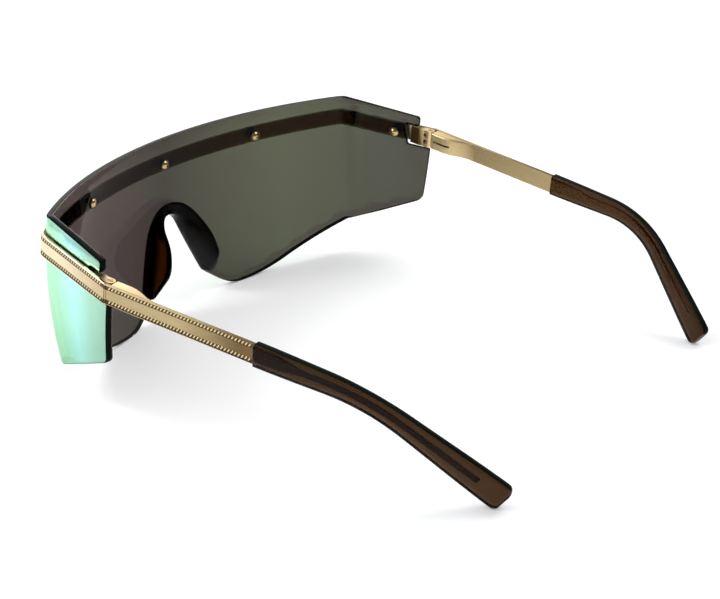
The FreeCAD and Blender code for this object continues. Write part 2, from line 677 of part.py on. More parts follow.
def path_section(distance, height, thickness, rounding):
    """Rounded rectangle across the temple's centre line."""
    point, out, up = path_place(distance)
    half_x = thickness / 2
    half_z = height / 2
    corners = [
        (half_x, -half_z, rounding),
        (half_x, half_z, rounding),
        (-half_x, half_z, rounding),
        (-half_x, -half_z, rounding),
    ]
    return rounded_wire(corners, lambda x, z: point + out * x + up * z)


def sleeve_height(distance):
    """Height of the sleeve, eased from its front to its waist and on to its end."""
    if distance < WAIST:
        share = (WAIST - distance) / (WAIST - TEMPLE_TO_SLEEVE)
        gain = SLEEVE_START_HEIGHT - SLEEVE_WAIST_HEIGHT
    else:
        share = (distance - WAIST) / (TEMPLE_END - WAIST)
        gain = SLEEVE_END_HEIGHT - SLEEVE_WAIST_HEIGHT
    return SLEEVE_WAIST_HEIGHT + gain * share ** 2 * (3 - 2 * share)


def sleeve_stations():
    """Distances along the centre line, with the places halfway between them."""
    marks = [TEMPLE_TO_SLEEVE, TEMPLE_TO_BEND, WAIST, BEND_END, TEMPLE_END]
    halfway = [(before + after) / 2 for before, after in zip(marks, marks[1:])]
    return sorted(marks + halfway)


def core_loft(grow):
    """The core from the temple's end into the sleeve, grown all round."""
    flat_end = TEMPLE_TO_SLEEVE + CORE_FLAT_LENGTH
    wire_start = flat_end + CORE_TAPER_LENGTH
    wire_end = TEMPLE_END - CORE_SHORT_OF_END + grow
    bend = [TEMPLE_TO_BEND + BEND_LENGTH * step / CORE_BEND_STEPS for step in range(CORE_BEND_STEPS + 1)]
    stations = [(TEMPLE_TO_SLEEVE, CORE_HEIGHT), (flat_end, CORE_HEIGHT)]
    stations += [(distance, CORE_WIRE_HEIGHT) for distance in [wire_start] + bend + [wire_end]]
    rounding = CORE_THICKNESS / 4
    wires = [
        path_section(distance, height + 2 * grow, CORE_THICKNESS + 2 * grow, rounding)
        for distance, height in stations
    ]
    return Part.makeLoft(wires, True, True)


def temple():
    half = BAND_HEIGHT / 2
    bar = box((-TEMPLE_THICKNESS, JOINT_GAP / 2, -half), (0, TEMPLE_TO_SLEEVE, half))
    long_edges = [edge for edge in bar.Edges if edge.BoundBox.YLength > TEMPLE_TO_SLEEVE / 2]
    bar = bar.makeFillet(TEMPLE_EDGE, long_edges)
    return at_left_joint(fused([bar, core_loft(0.0)]))


def temple_tip():
    sections = [
        path_section(distance, sleeve_height(distance), SLEEVE_THICKNESS, SLEEVE_ROUNDING)
        for distance in sleeve_stations()
    ]
    sleeve = Part.makeLoft(sections, True, False)
    point, out, up = path_place(TEMPLE_END)
    back = up.cross(out)
    half = SLEEVE_END_HEIGHT / 2

    def end_space(x, z):
        return point - out * SLEEVE_END_HEIGHT + back * x + up * z

    square_end = [
        (-TIP_STRAIGHT / 2, -half, 0),
        (TIP_STRAIGHT, -half, 0),
        (TIP_STRAIGHT, half, 0),
        (-TIP_STRAIGHT / 2, half, 0),
    ]
    rounded_end = [
        (-TIP_STRAIGHT, -half, 0),
        (0, -half, SLEEVE_END_ROUNDING),
        (0, half, SLEEVE_END_ROUNDING),
        (-TIP_STRAIGHT, half, 0),
    ]
    across = out * (2 * SLEEVE_END_HEIGHT)
    square = Part.Face(rounded_wire(square_end, end_space)).extrude(across)
    kept = Part.Face(rounded_wire(rounded_end, end_space)).extrude(across)
    return at_left_joint(sleeve.cut(square.cut(kept)).cut(core_loft(CORE_GAP)))


# Nose bridge

def notch_band(inner, outer, bottom):
    """Prism of an arch between two growths of the notch outline, down to a bottom height."""
    prisms = []
    for grow, low in ((outer, bottom), (inner, CUT_LOW)):
        peak, rounding = notch_corner(grow)
        half = notch_half_width(low, grow)
        outline = [(half, low, 0), (0, peak, rounding), (-half, low, 0)]
        prisms.append(front_prism(outline, AXIS_Y))
    return prisms[0].cut(prisms[1])


def nose_bridge():
    back = -LENS_THICKNESS - FIT_GAP
    rear = back - BRIDGE_FLANGE_THICKNESS
    front = FIT_GAP + BRIDGE_LIP_THICKNESS
    flange = shell(rear, back).common(notch_band(-BRIDGE_LINING, BRIDGE_FLANGE, NOTCH_FOOT))
    lining = shell(rear, front).common(notch_band(-BRIDGE_LINING, -FIT_GAP, NOTCH_FOOT))
    lip = shell(FIT_GAP, front).common(notch_band(-BRIDGE_LINING, BRIDGE_LIP, NOTCH_FOOT))
    pad = nose_pad().common(envelope(back))
    return fused([flange, lining, lip, pad, mirrored(pad)])


def nose_pad():
    """Wall that carries the left notch flank back and outward, trimmed to a drop shape from the side."""
    top = NOTCH_PEAK - PAD_BELOW_PEAK
    deepest = NOTCH_FOOT + PAD_DEEPEST
    lens_back = front_place(0.0, deepest, -LENS_THICKNESS)[0].y
    drop = side_prism(
        [
            (lens_back, NOTCH_FOOT, 0),
            (lens_back + PAD_FOOT_REACH, NOTCH_FOOT, PAD_FOOT_REACH),
            (lens_back + PAD_REACH, deepest, PAD_RIM_ROUNDING),
            (lens_back + PAD_TOP_REACH, top, 0),
            (lens_back, top, 0),
        ]
    )
    inner = -BRIDGE_LINING
    outer = PAD_THICKNESS - BRIDGE_LINING
    edges = [(NOTCH_FOOT, inner), (NOTCH_FOOT, outer), (top, outer), (top, inner)]
    corners = [V(notch_half_width(height, grow), lens_back, height) for height, grow in edges]
    face = Part.Face(Part.makePolygon(corners + corners[:1]))
    return face.extrude(V(tan(PAD_SPLAY), 1, 0) * (2 * PAD_REACH)).common(drop)


# All pieces

def group(shapes):
    return Part.makeCompound(shapes)


def build():
    pieces = {
        "shield_lens": shield_lens(),
        "brow_bar": brow_bar(),
        "nose_bridge": nose_bridge(),
        "lens_screws": group(at_screws(lens_screw())),
        "lens_bushes": group(at_screws(lens_bush())),
        "bar_spacers": group(at_screws(bar_spacer())),
    }
    paired = {
        "end_piece": end_piece(),
        "hinge_screw": hinge_screw(),
        "hinge_slider": hinge_slider(),
        "hinge_spring": hinge_spring(),
        "spring_collar": spring_collar(),
        "spring_housing": spring_housing(),
        "temple": temple(),
        "temple_tip": temple_tip(),
    }
    for name, shape in paired.items():
        pieces["left_" + name] = shape
        pieces["right_" + name] = mirrored(shape)
    return pieces


PIECES = build()

# The origin is the bottom centre of the whole object
BOUNDS = FreeCAD.BoundBox()
for piece in PIECES.values():
    BOUNDS.add(piece.optimalBoundingBox(False, False))
SHIFT = V(-BOUNDS.Center.x, -BOUNDS.Center.y, -BOUNDS.ZMin)

os.makedirs("parts", exist_ok=True)
for name, piece in PIECES.items():
    piece.translate(SHIFT)
    piece.exportStep("parts/" + name + ".step")
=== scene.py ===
import json
import math

import bmesh
import bpy
from mathutils import Matrix, Quaternion, Vector, geometry, kdtree

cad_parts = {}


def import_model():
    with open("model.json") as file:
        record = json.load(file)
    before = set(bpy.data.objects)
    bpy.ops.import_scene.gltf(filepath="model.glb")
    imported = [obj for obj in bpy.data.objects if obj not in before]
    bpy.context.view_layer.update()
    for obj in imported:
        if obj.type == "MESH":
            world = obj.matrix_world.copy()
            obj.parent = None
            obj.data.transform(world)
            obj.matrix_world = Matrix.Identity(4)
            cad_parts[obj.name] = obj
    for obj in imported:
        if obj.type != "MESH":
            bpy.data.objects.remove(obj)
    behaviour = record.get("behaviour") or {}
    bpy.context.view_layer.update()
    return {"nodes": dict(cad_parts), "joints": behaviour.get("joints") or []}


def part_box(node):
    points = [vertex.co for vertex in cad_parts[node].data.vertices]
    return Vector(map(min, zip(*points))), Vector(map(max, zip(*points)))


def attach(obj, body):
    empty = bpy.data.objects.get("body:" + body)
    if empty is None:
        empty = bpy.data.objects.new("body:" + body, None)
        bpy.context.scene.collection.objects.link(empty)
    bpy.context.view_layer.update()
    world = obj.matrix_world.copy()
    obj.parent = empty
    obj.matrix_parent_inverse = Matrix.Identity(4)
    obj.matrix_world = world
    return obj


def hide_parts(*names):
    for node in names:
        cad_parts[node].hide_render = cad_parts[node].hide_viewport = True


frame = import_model()

# Shield sunglasses. Pieces are drawn in millimetres, in one of two frames:
# the lens frame, with +X the wearer's left, Y = 0 at the lens creases and +Y back, and
# the left joint frame, with X out of the temple's face, Y back along it and Z up along the pin.

MM = 0.001

# Lens
LENS_THICKNESS = 2.2
FRONT_RADIUS = 115.0
CREASE_HALF_WIDTH = 66.5
CREASE_RADIUS = 5.0  # of the outer face; the inner face keeps a sharp crease
SHARP_CREASE = 0.15
WING_SPLAY = 12.0
BOW_RADIUS = 150.0
BOW_HEIGHT = 26.4
LENS_TOP = 54.6
TOP_ARCH = 0.8
LOBE_FROM_NOTCH = 9.8
LOBE_OUTER_ROUNDING = 48.0
LOBE_INNER_ROUNDING = 11.8
LOBE_RISE = 19.6
LOBE_INNER_RISE = 39.3
NOTCH_PEAK = 39.3
NOTCH_HALF_ANGLE = 21.8
NOTCH_ROUNDING = 5.4
NOTCH_FOOT_ROUNDING = 1.5
WING_BOTTOM_RISE = 17.8
WING_TOP_FALL = 11.0
WING_LENGTH = 29.0
WING_STEP = 1.8
REAR_EDGE_LEAN = 12.0
REAR_LOWER_ROUNDING = 3.0
REAR_UPPER_ROUNDING = 1.0
OUTER_EDGE = 0.25  # rounding of the rim at the outer face
INNER_EDGE = 0.5  # and at the inner face
SQUARE_RUN = 12.0  # this far behind the crease, the rim is cut square to the wing
HOLE_RADIUS = 1.03
FRONT_SCREW_X = 36.3
WING_SCREW_Y = 19.9

# Brow bar and temples
BAND_HEIGHT = 5.8
BAND_SLOPE = 9.5
BAR_THICKNESS = 0.9
BAR_STANDOFF = 0.5
BAR_BELOW_TOP = 7.4
JOINT_Y = 32.0
JOINT_GAP = 0.2
SLOT_FRONT = 23.4
SLOT_BELOW_BAND = 0.9
SLOT_ABOVE_BAND = 0.4
SLOT_ROUNDING = 0.5
TEMPLE_THICKNESS = 0.9
PIN_INSET = 2.6  # pin axis inside the temple's outer face
BAND_EDGE = 0.15  # rounding of the band's long edges
BAND_RIM = 0.3  # plain rim along the band's outer face
ROPE_WIDTH = 1.2
ROPE_DEPTH = 0.2
FIELD_DEPTH = 0.12
CHANNEL_WALL = 0.05
END_RIM = 0.5
ROPE_PITCH = 1.05
ROPE_SLANT = 34.0
STRAND_HALF_LENGTH = 0.7
STRAND_HALF_WIDTH = 0.26

# Spring housings, on the temples' inner faces
HOUSING_START = 1.65  # behind the joint
HOUSING_FULL = 6.0  # from here on it thins toward the temple
HOUSING_END = 17.0
HOUSING_DEPTH = 4.0  # inner face from the temple's outer face
HOUSING_LEFT = 0.05  # thickness left at the rear end
HOUSING_INSET = 0.2  # inside the band's edges
HOUSING_EDGE = 0.5
HOUSING_STEPS = 10
SLIT_START = 2.6
SLIT_END = 8.7
SLIT_WIDTH = 0.6
SLIT_DEPTH = 0.3
SLIT_WALL = 0.05

# Temple path and tips
TEMPLE_TO_SLEEVE = 47.3
SLEEVE_TO_BEND = 20.9
BEND_RADIUS = 33.0
BEND_ANGLE = 38.2
BEND_ROLL = 31.0
TIP_STRAIGHT = 28.9
SLEEVE_START_HEIGHT = 6.5
SLEEVE_WAIST_HEIGHT = 5.3
SLEEVE_END_HEIGHT = 7.8
SLEEVE_THICKNESS = 2.9
SLEEVE_ROUNDING = 0.9
SLEEVE_END_ROUNDING = 1.8
SLEEVE_FACE_ROUNDING = 0.7
SLEEVE_FRONT_BEVEL = 0.2
CORE_HEIGHT = 3.7
CORE_WIRE_HEIGHT = 1.6
CORE_THICKNESS = 0.7
CORE_ROUNDING = CORE_THICKNESS / 4
CORE_FLAT_LENGTH = 7.0
CORE_TAPER_LENGTH = 7.0
CORE_SHORT_OF_END = 8.0

# Nose bridge
BRIDGE_LINING = 0.8
ARCH_FLANGE = 4.2  # width of the rear flange beyond the notch edge, over the arch
FLANK_FLANGE = 5.5  # and beside the pads
FLANGE_STRIP = 2.4  # width of the flange's thick outer edge
FLANGE_EDGE = 1.0  # thickness of the flange at its outer edge
FLANGE_THIN = 0.4  # and between that edge and the pads
BRIDGE_LIP = 1.0
BRIDGE_LIP_THICKNESS = 0.7
PAD_WALL = 0.7
PAD_BEAD = 1.1  # half thickness of the pads' rear rim
PAD_ROOT = 0.12  # share of the pad's reach where it meets the flange
PAD_ROOT_WALL = 1.05
BEAD_LIMIT = 1 / 3  # share of the reach that the bead takes up at most
FLANGE_LIMIT = 0.2  # and the flange's edge
STRIP_FALL = 0.5
ROOT_RISE = 0.3
LIP_DRAFT = 0.2
FLANGE_DRAFT = 0.1
ARCH_SHARES = (0.25, 0.35, 0.45, 0.55, 0.65, 0.75)  # shares of the way from the flange to the rear rim
PAD_WALL_SHARES = (0.3, 0.5, 0.72)
PAD_INNER_SHARES = (0.72, 0.5, 0.25)
ARCH_FADE = 6.0  # below the arch's top, the solid arch has thinned to the pads' wall

# Crest of the bridge's rear rim: height on the notch, out from the notch edge, back from the lens
PAD_CREST = [
    (30.2, 3.6, 2.4),
    (28.6, 3.1, 4.2),
    (24.1, 2.6, 7.7),
    (20.2, 2.1, 9.0),
    (15.0, 1.6, 8.7),
    (11.9, 1.4, 6.2),
    (9.0, 1.1, 3.5),
    (6.8, 1.2, 1.6),
]

# Finishes
GRAIN_DARK = 0.3  # noise levels of the darkest and the lightest tone
GRAIN_LIGHT = 0.7
GLOSS_SPREAD = 0.2
CLOUD_SHARE = 0.1
GRAIN_RELIEF = 0.02
RELIEF_STRENGTH = 0.4
BRUSHED_STRETCH = (1, 0.06, 1)
# Painted shade: the arms darken toward the tips, the bar's painted highlight fades toward the joint, the
# housings darken toward the rear and the end pieces toward the lens.
ARM_PAINTED_SHADE = (24.0, 42.0)  # from and to these distances behind the joint, painted shade darkens the gold
BAR_PAINTED_SHADE = (-22.0, 0.0)
HOUSING_PAINTED_SHADE = (4.0, 15.0)
END_PAINTED_SHADE = (-1.6, -3.4)
SOFT_EDGE = 0.08  # bevel of the CAD pieces' edges
FINE_EDGE = 0.05
COLLAR_EDGE = 0.04

# Places of the finishes in the lists of the lens and of the metal and plastic pieces
MIRROR_SIDE, SMOKE_SIDE, RIM_SIDE = range(3)
PLAIN, DARK, CORE_OUTER, CORE_INNER, BAND_INNER = range(5)

# Floor and light
FLOOR_REACH = 3.0
FLOOR_GLOW = 0.15
SKY_COLOUR = (0.97, 0.98, 1.0, 1)
SKY_LEVEL = 0.8
LAMP_TARGET = (0, 0, 0.02)
CEILING = Vector((0.2, 0.75, 0.63))  # direction of the darkest place in the reflections
CEILING_START = 0.1
CEILING_FULL = 0.45
CEILING_LEVEL = 0.15

# Mesh steps
LINE_STEP = 2.0
ARC_STEP = 8.0
GRID_STEP = 3.0
CREASE_STEPS = 4
CORNER_STEPS = 5
RING_TOP = CORNER_STEPS - 1  # flat sides of a rounded rectangle, counted from its outer side
RING_INNER = 2 * CORNER_STEPS - 1
RING_BOTTOM = 3 * CORNER_STEPS - 1
CORE_INNER_REACH = 2  # sides each way from a flat one with the same finish
TIP_EDGE_REACH = 1
HOLE_TURNS = range(0, 360, 30)
STRAND_TURNS = range(0, 360, 45)
STRAND_TILTS = (-60, -25, 10, 45, 70)
HOUSING_TURNS = (0, 30, 60, 90)
RIM_TURN = 45
BAR_WING_STEPS = (1, 4, 7, 9)
TIP_END_STEPS = 8
SMOOTH_LEVELS = 2
BEVEL_SEGMENTS = 2
SIDE_STEP = 0.1  # between two places that give a direction
MERGE_DISTANCE = 1e-5
ON_MIDDLE = 1e-4
SHARP_ANGLE = 35.0
ROPE_SHARP_ANGLE = 60.0
ALL_SMOOTH = 180.0

# Camera, fitted to the photograph, in the lens frame
CAMERA_PLACE = Vector((307.6, 304.3, 185.85))
CAMERA_AZIMUTH = 128.95
CAMERA_ELEVATION = 23.1
CAMERA_ROLL = -4.05
CAMERA_LENS = 75.0
CAMERA_SENSOR = 36.0
CAMERA_CLIP = 0.01


def sin(angle):
    return math.sin(math.radians(angle))


def cos(angle):
    return math.cos(math.radians(angle))


def tan(angle):
    return math.tan(math.radians(angle))


def limited(share):
    return min(max(share, 0.0), 1.0)


def eased(share):
    return share ** 2 * (3 - 2 * share)


def between(start, end, share):
    return start + (end - start) * share


def both_halves(upper):
    """Points round a section from those of its upper half."""
    return upper + [(x, -z) for x, z in reversed(upper)]


# Places that follow from the sizes

AXIS_Y = math.sqrt(FRONT_RADIUS ** 2 - CREASE_HALF_WIDTH ** 2)
WING_NORMAL = Vector((cos(WING_SPLAY), -sin(WING_SPLAY)))
WING_ALONG = Vector((sin(WING_SPLAY), cos(WING_SPLAY)))
NOTCH_LEAN = tan(NOTCH_HALF_ANGLE)
NOTCH_BASE_X = NOTCH_PEAK * NOTCH_LEAN
LOBE_X = NOTCH_BASE_X + LOBE_FROM_NOTCH
LOBE_OUTER_X = LOBE_X + LOBE_OUTER_ROUNDING * tan(LOBE_RISE / 2)
LOBE_INNER_X = LOBE_X - LOBE_INNER_ROUNDING * tan(LOBE_INNER_RISE / 2)
FOOT_RISE = tan(LOBE_INNER_RISE)
NOTCH_FOOT = FOOT_RISE * (LOBE_INNER_X - NOTCH_BASE_X) / (1 - FOOT_RISE * NOTCH_LEAN)
NOTCH_FOOT_X = (NOTCH_PEAK - NOTCH_FOOT) * NOTCH_LEAN
LOWER_CREASE_Z = (CREASE_HALF_WIDTH - LOBE_OUTER_X) * tan(LOBE_RISE)
WING_LOWER_LENGTH = WING_LENGTH - WING_STEP
LOWER_REAR_Z = LOWER_CREASE_Z + WING_LOWER_LENGTH * tan(WING_BOTTOM_RISE)
UPPER_REAR_Z = LENS_TOP - WING_LENGTH * tan(WING_TOP_FALL)
BAR_CENTRE_HEIGHT = LENS_TOP - BAR_BELOW_TOP
BAR_OUTER = BAR_STANDOFF + BAR_THICKNESS
TEMPLE_TO_BEND = TEMPLE_TO_SLEEVE + SLEEVE_TO_BEND
BEND_LENGTH = math.radians(BEND_ANGLE) * BEND_RADIUS
BEND_END = TEMPLE_TO_BEND + BEND_LENGTH
TEMPLE_END = BEND_END + TIP_STRAIGHT
WAIST = TEMPLE_TO_BEND + BEND_LENGTH / 2

# Along the lens, 0 to FRONT_RUN is the front, then the crease's rounding, then the wing
FRONT_RUN = 69.0
CREASE_RUN = 3.7
WING_START = FRONT_RUN + CREASE_RUN


def sagitta(radius, reach):
    """How far a circle falls back from its furthest point, at a reach to its side."""
    return radius - math.sqrt(radius ** 2 - reach ** 2)


def bow_drop(height, offset):
    """How far the face at this offset stands back, at a height, from its furthest point."""
    return sagitta(BOW_RADIUS + offset, height - BOW_HEIGHT)


def joint_named(name):
    return next(joint for joint in frame["joints"] if joint["name"] == name)


def lens_frame():
    """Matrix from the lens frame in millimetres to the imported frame."""
    bar_bottom = BAR_CENTRE_HEIGHT - BAND_HEIGHT / 2
    bar_front = AXIS_Y - FRONT_RADIUS - BAR_OUTER + bow_drop(bar_bottom, BAR_OUTER)
    crease_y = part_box("brow_bar")[0].y - bar_front * MM
    return Matrix.Translation((0, crease_y, 0)) @ Matrix.Scale(MM, 4)


def joint_frame():
    """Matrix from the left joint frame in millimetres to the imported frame."""
    fold = joint_named("left_temple_fold")
    along = Vector(joint_named("left_spring_travel")["axis"]).normalized()
    up = Vector(fold["axis"]).normalized()
    out = along.cross(up)
    turn = Matrix((out, along, up)).transposed().to_4x4()
    return Matrix.Translation(Vector(fold["pos_m"]) + out * PIN_INSET * MM) @ turn @ Matrix.Scale(MM, 4)


LENS_FRAME = lens_frame()
JOINT_FRAME = joint_frame()
MIRROR = Matrix.Scale(-1, 4, (1, 0, 0))
CREASE_Y = LENS_FRAME.translation.y / MM


def place_behind_joint(distance):
    """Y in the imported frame, in millimetres, at a distance behind the temple's front end."""
    return (JOINT_FRAME @ Vector((0, distance, 0))).y / MM


# Mesh helpers

class Mesh:
    """Points and faces of one piece, in millimetres."""

    def __init__(self):
        self.points = []
        self.faces = []
        self.finishes = []

    def add(self, points):
        """Adds points and returns their indices."""
        start = len(self.points)
        self.points.extend(points)
        return list(range(start, len(self.points)))

    def face(self, corners, finish=0):
        self.faces.append(corners)
        self.finishes.append(finish)

    def bridge(self, ring, other, finish=0):
        """Quads between two closed rings of as many points."""
        for index in range(len(ring)):
            after = (index + 1) % len(ring)
            chosen = finish[index] if isinstance(finish, list) else finish
            self.face([ring[index], ring[after], other[after], other[index]], chosen)

    def loft(self, rings, finish=0):
        """Closed skin through rings of points, capped at both ends."""
        indices = [self.add(ring) for ring in rings]
        for ring, other in zip(indices, indices[1:]):
            self.bridge(ring, other, finish)
        self.face(indices[0])
        self.face(indices[-1])


def add_object(name, data):
    piece = bpy.data.objects.new(name, data)
    bpy.context.scene.collection.objects.link(piece)
    return piece


def make_piece(name, mesh, to_frame, materials, body, sharp=SHARP_ANGLE):
    """Object made of a mesh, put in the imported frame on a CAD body."""
    data = bpy.data.meshes.new(name)
    data.from_pydata([to_frame @ point for point in mesh.points], [], mesh.faces)
    data.polygons.foreach_set("material_index", mesh.finishes)
    shape = bmesh.new()
    shape.from_mesh(data)
    bmesh.ops.recalc_face_normals(shape, faces=shape.faces)
    shape.to_mesh(data)
    shape.free()
    data.polygons.foreach_set("use_smooth", [True] * len(data.polygons))
    data.set_sharp_from_angle(angle=math.radians(sharp))
    for material in materials:
        data.materials.append(material)
    piece = add_object(name, data)
    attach(piece, body)
    return piece


def even_stations(start, end):
    """Distances from start to end, close enough for bends."""
    steps = math.ceil((end - start) / LINE_STEP)
    return [between(start, end, step / steps) for step in range(steps + 1)]


def divided_line(start, end):
    steps = max(1, math.ceil((end - start).length / LINE_STEP))
    return [start.lerp(end, step / steps) for step in range(steps + 1)]


def divided_arc(start, centre, end):
    first = start - centre
    last = end - centre
    angle = first.angle(last)
    finest = max(math.degrees(angle) / ARC_STEP, angle * first.length / LINE_STEP, 1)
    steps = 2 * math.ceil(finest / 2)
    turned = [first.normalized().slerp(last.normalized(), step / steps) for step in range(steps + 1)]
    return [centre + direction * first.length for direction in turned]


def rounded_path(corners):
    """Points along an open path through (u, v, rounding) corners."""
    path = [Vector(corners[0][:2])]
    for before, (u, v, rounding), after in zip(corners, corners[1:], corners[2:]):
        corner = Vector((u, v))
        back = (Vector(before[:2]) - corner).normalized()
        onward = (Vector(after[:2]) - corner).normalized()
        half = back.angle(onward) / 2
        run = rounding / math.tan(half)
        centre = corner + (back + onward).normalized() * (rounding / math.sin(half))
        start = corner + back * run
        path += divided_line(path[-1], start)[1:]
        path += divided_arc(start, centre, corner + onward * run)[1:]
    return path + divided_line(path[-1], Vector(corners[-1][:2]))[1:]


def rounded_rectangle(half_x, half_z, rounding):
    """Points round a rectangle with rounded corners."""
    rounding = min(rounding, half_x, half_z)
    points = []
    for turn, (side_x, side_z) in enumerate(((1, 1), (-1, 1), (-1, -1), (1, -1))):
        for step in range(CORNER_STEPS):
            angle = 90 * (turn + step / (CORNER_STEPS - 1))
            x = side_x * (half_x - rounding) + rounding * cos(angle)
            z = side_z * (half_z - rounding) + rounding * sin(angle)
            points.append((x, z))
    return points


# Materials

def fill(tree, node, inputs):
    """Gives a node's inputs their values, or links them to other nodes' outputs."""
    for socket, value in inputs.items():
        if isinstance(value, bpy.types.NodeSocket):
            tree.links.new(value, node.inputs[socket])
        else:
            node.inputs[socket].default_value = value


def add_node(tree, kind, inputs, **settings):
    node = tree.nodes.new("ShaderNode" + kind)
    for name, value in settings.items():
        setattr(node, name, value)
    fill(tree, node, inputs)
    return node


def new_material(name):
    material = bpy.data.materials.new(name)
    material.use_nodes = True
    return material, material.node_tree


def principled(tree, **inputs):
    """Fills inputs of a material's shader."""
    named = {name.replace("_", " "): value for name, value in inputs.items()}
    fill(tree, tree.nodes["Principled BSDF"], named)


def speckle(tree, scale, stretch=(1, 1, 1), detail=3.0):
    """Noise over the object's own coordinates, in features per metre."""
    place = add_node(tree, "TexCoord", {}).outputs["Object"]
    mapped = add_node(tree, "Mapping", {"Vector": place, "Scale": stretch}).outputs["Vector"]
    return add_node(tree, "TexNoise", {"Vector": mapped, "Scale": scale, "Detail": detail}).outputs["Fac"]


def ramp(tree, source, stops):
    """Colour ramp over a factor, from (position, colour) stops."""
    node = add_node(tree, "ValToRGB", {"Fac": source})
    elements = node.color_ramp.elements
    while len(elements) < len(stops):
        elements.new(0.5)
    for element, (position, colour) in zip(elements, stops):
        element.position = position
        element.color = (*colour, 1)
    return node.outputs["Color"]


def grained(tree, grains, dark, light):
    """Colour between two tones, by the grains."""
    return ramp(tree, grains, [(GRAIN_DARK, dark), (GRAIN_LIGHT, light)])


def mapped_range(tree, source, start, end, low=0.0, high=1.0, clamped=True):
    inputs = {"Value": source, "From Min": start, "From Max": end, "To Min": low, "To Max": high}
    return add_node(tree, "MapRange", inputs, clamp=clamped).outputs["Result"]


def uneven_gloss(tree, grains, roughness):
    spread = roughness * GLOSS_SPREAD
    return mapped_range(tree, grains, 0.0, 1.0, roughness - spread, roughness + spread)


def calculated(tree, operation, first, second=0.0):
    return add_node(tree, "Math", {0: first, 1: second}, operation=operation).outputs[0]


def object_place(tree, axis, start, end, clamped=True):
    """Share of the way from start to end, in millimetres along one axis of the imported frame."""
    place = add_node(tree, "TexCoord", {}).outputs["Object"]
    part = add_node(tree, "SeparateXYZ", {"Vector": place}).outputs[axis]
    return mapped_range(tree, part, start * MM, end * MM, clamped=clamped)


def tinted(tree, colour, share, tint):
    """A colour that comes to be multiplied by a tint as the share goes from 0 to 1."""
    inputs = {"Factor": 1.0, 6: colour, 7: ramp(tree, share, [(0.0, (1, 1, 1)), (1.0, tint)])}
    return add_node(tree, "Mix", inputs, data_type="RGBA", blend_type="MULTIPLY").outputs[2]


def clouded(tree, source, scale):
    """A factor with soft noise mixed into it."""
    inputs = {"Factor": CLOUD_SHARE, "A": source, "B": speckle(tree, scale, detail=1.0)}
    return add_node(tree, "Mix", inputs).outputs["Result"]


def metal(name, light, dark, roughness, grain, brushed=False, painted_shade=None):
    """Plated metal with a fine grain; the last argument, if given, is a span of distances behind the joint
    and a tint, over which painted shade darkens the colour.
    """
    material, tree = new_material(name)
    grains = speckle(tree, grain, BRUSHED_STRETCH if brushed else (1, 1, 1))
    colour = grained(tree, grains, dark, light)
    # Painted shade over the span behind the joint.
    if painted_shade:
        (start, end), tint = painted_shade
        share = object_place(tree, "Y", place_behind_joint(start), place_behind_joint(end))
        colour = tinted(tree, colour, share, tint)
    principled(tree, Metallic=1.0, Base_Color=colour, Roughness=uneven_gloss(tree, grains, roughness))
    if brushed:
        inputs = {"Distance": GRAIN_RELIEF * MM, "Strength": RELIEF_STRENGTH, "Height": grains}
        principled(tree, Normal=add_node(tree, "Bump", inputs).outputs["Normal"])
    return material


def painted_bar_shade(tree):
    """Mask of the painted shade behind the brow bar: 1 on the lens behind the bar, else 0. Heights are
    counted in wing lengths.
    """
    run = object_place(tree, "Y", CREASE_Y, CREASE_Y + WING_LENGTH)
    drop = object_place(tree, "Z", BAR_CENTRE_HEIGHT, BAR_CENTRE_HEIGHT - WING_LENGTH, False)
    below = calculated(tree, "SUBTRACT", drop, calculated(tree, "MULTIPLY", run, tan(BAND_SLOPE)))
    away = calculated(tree, "ABSOLUTE", below)
    return calculated(tree, "LESS_THAN", away, (BAND_HEIGHT / 2 - BAND_RIM) / WING_LENGTH)


def mirror_coat():
    """Mint mirror coating of the lens's outer face, part see-through. Its colour holds a painted reflection
    along the wing, brightest midway and darker at the rear, painted shade that darkens it toward the
    bottom, and a dark stripe of painted shade behind the bar.
    """
    material, tree = new_material("mint_mirror")
    along = object_place(tree, "Y", CREASE_Y, CREASE_Y + WING_LENGTH)
    colours = [
        (0.0, (0.44, 0.82, 0.48)),
        (0.25, (0.46, 0.93, 0.64)),
        (0.5, (0.51, 1.0, 0.96)),
        (0.75, (0.39, 0.72, 0.56)),
        (1.0, (0.30, 0.56, 0.42)),
    ]
    # Painted reflection along the wing: brightest midway, darker toward the rear.
    mint = ramp(tree, clouded(tree, along, 40.0), colours)
    # Painted shade: the coat darkens from the bar down to the lower crease.
    low = object_place(tree, "Z", BAR_CENTRE_HEIGHT, LOWER_CREASE_Z)
    mint = tinted(tree, mint, low, (0.68, 0.82, 0.74))
    # Painted shade: a dark stripe on the coat behind the brow bar.
    mint = tinted(tree, mint, painted_bar_shade(tree), (0.34, 0.10, 0.02))
    principled(tree, Metallic=1.0, Roughness=0.05, Alpha=0.76, Base_Color=mint)
    return material


def smoke_tint():
    """Brown-grey see-through inner face of the lens. Its tone across the lens is painted light and shade:
    darkest at the middle, greener toward the right.
    """
    material, tree = new_material("smoke_tint")
    across = object_place(tree, "X", -CREASE_HALF_WIDTH, CREASE_HALF_WIDTH)
    colours = [
        (0.0, (0.064, 0.050, 0.036)),
        (0.2, (0.083, 0.064, 0.044)),
        (0.5, (0.031, 0.021, 0.017)),
        (0.8, (0.070, 0.034, 0.034)),
    ]
    smoke = ramp(tree, clouded(tree, across, 12.0), colours)
    principled(tree, Roughness=0.03, IOR=1.15, Transmission_Weight=1.0, Base_Color=smoke)
    return material


def dark_edge():
    """Polished edge of the lens and of the tips, almost black."""
    material, tree = new_material("dark_edge")
    colour = grained(tree, speckle(tree, 60.0), (0.002, 0.004, 0.003), (0.004, 0.007, 0.005))
    principled(tree, Roughness=0.2, Specular_IOR_Level=0.02, Base_Color=colour)
    return material


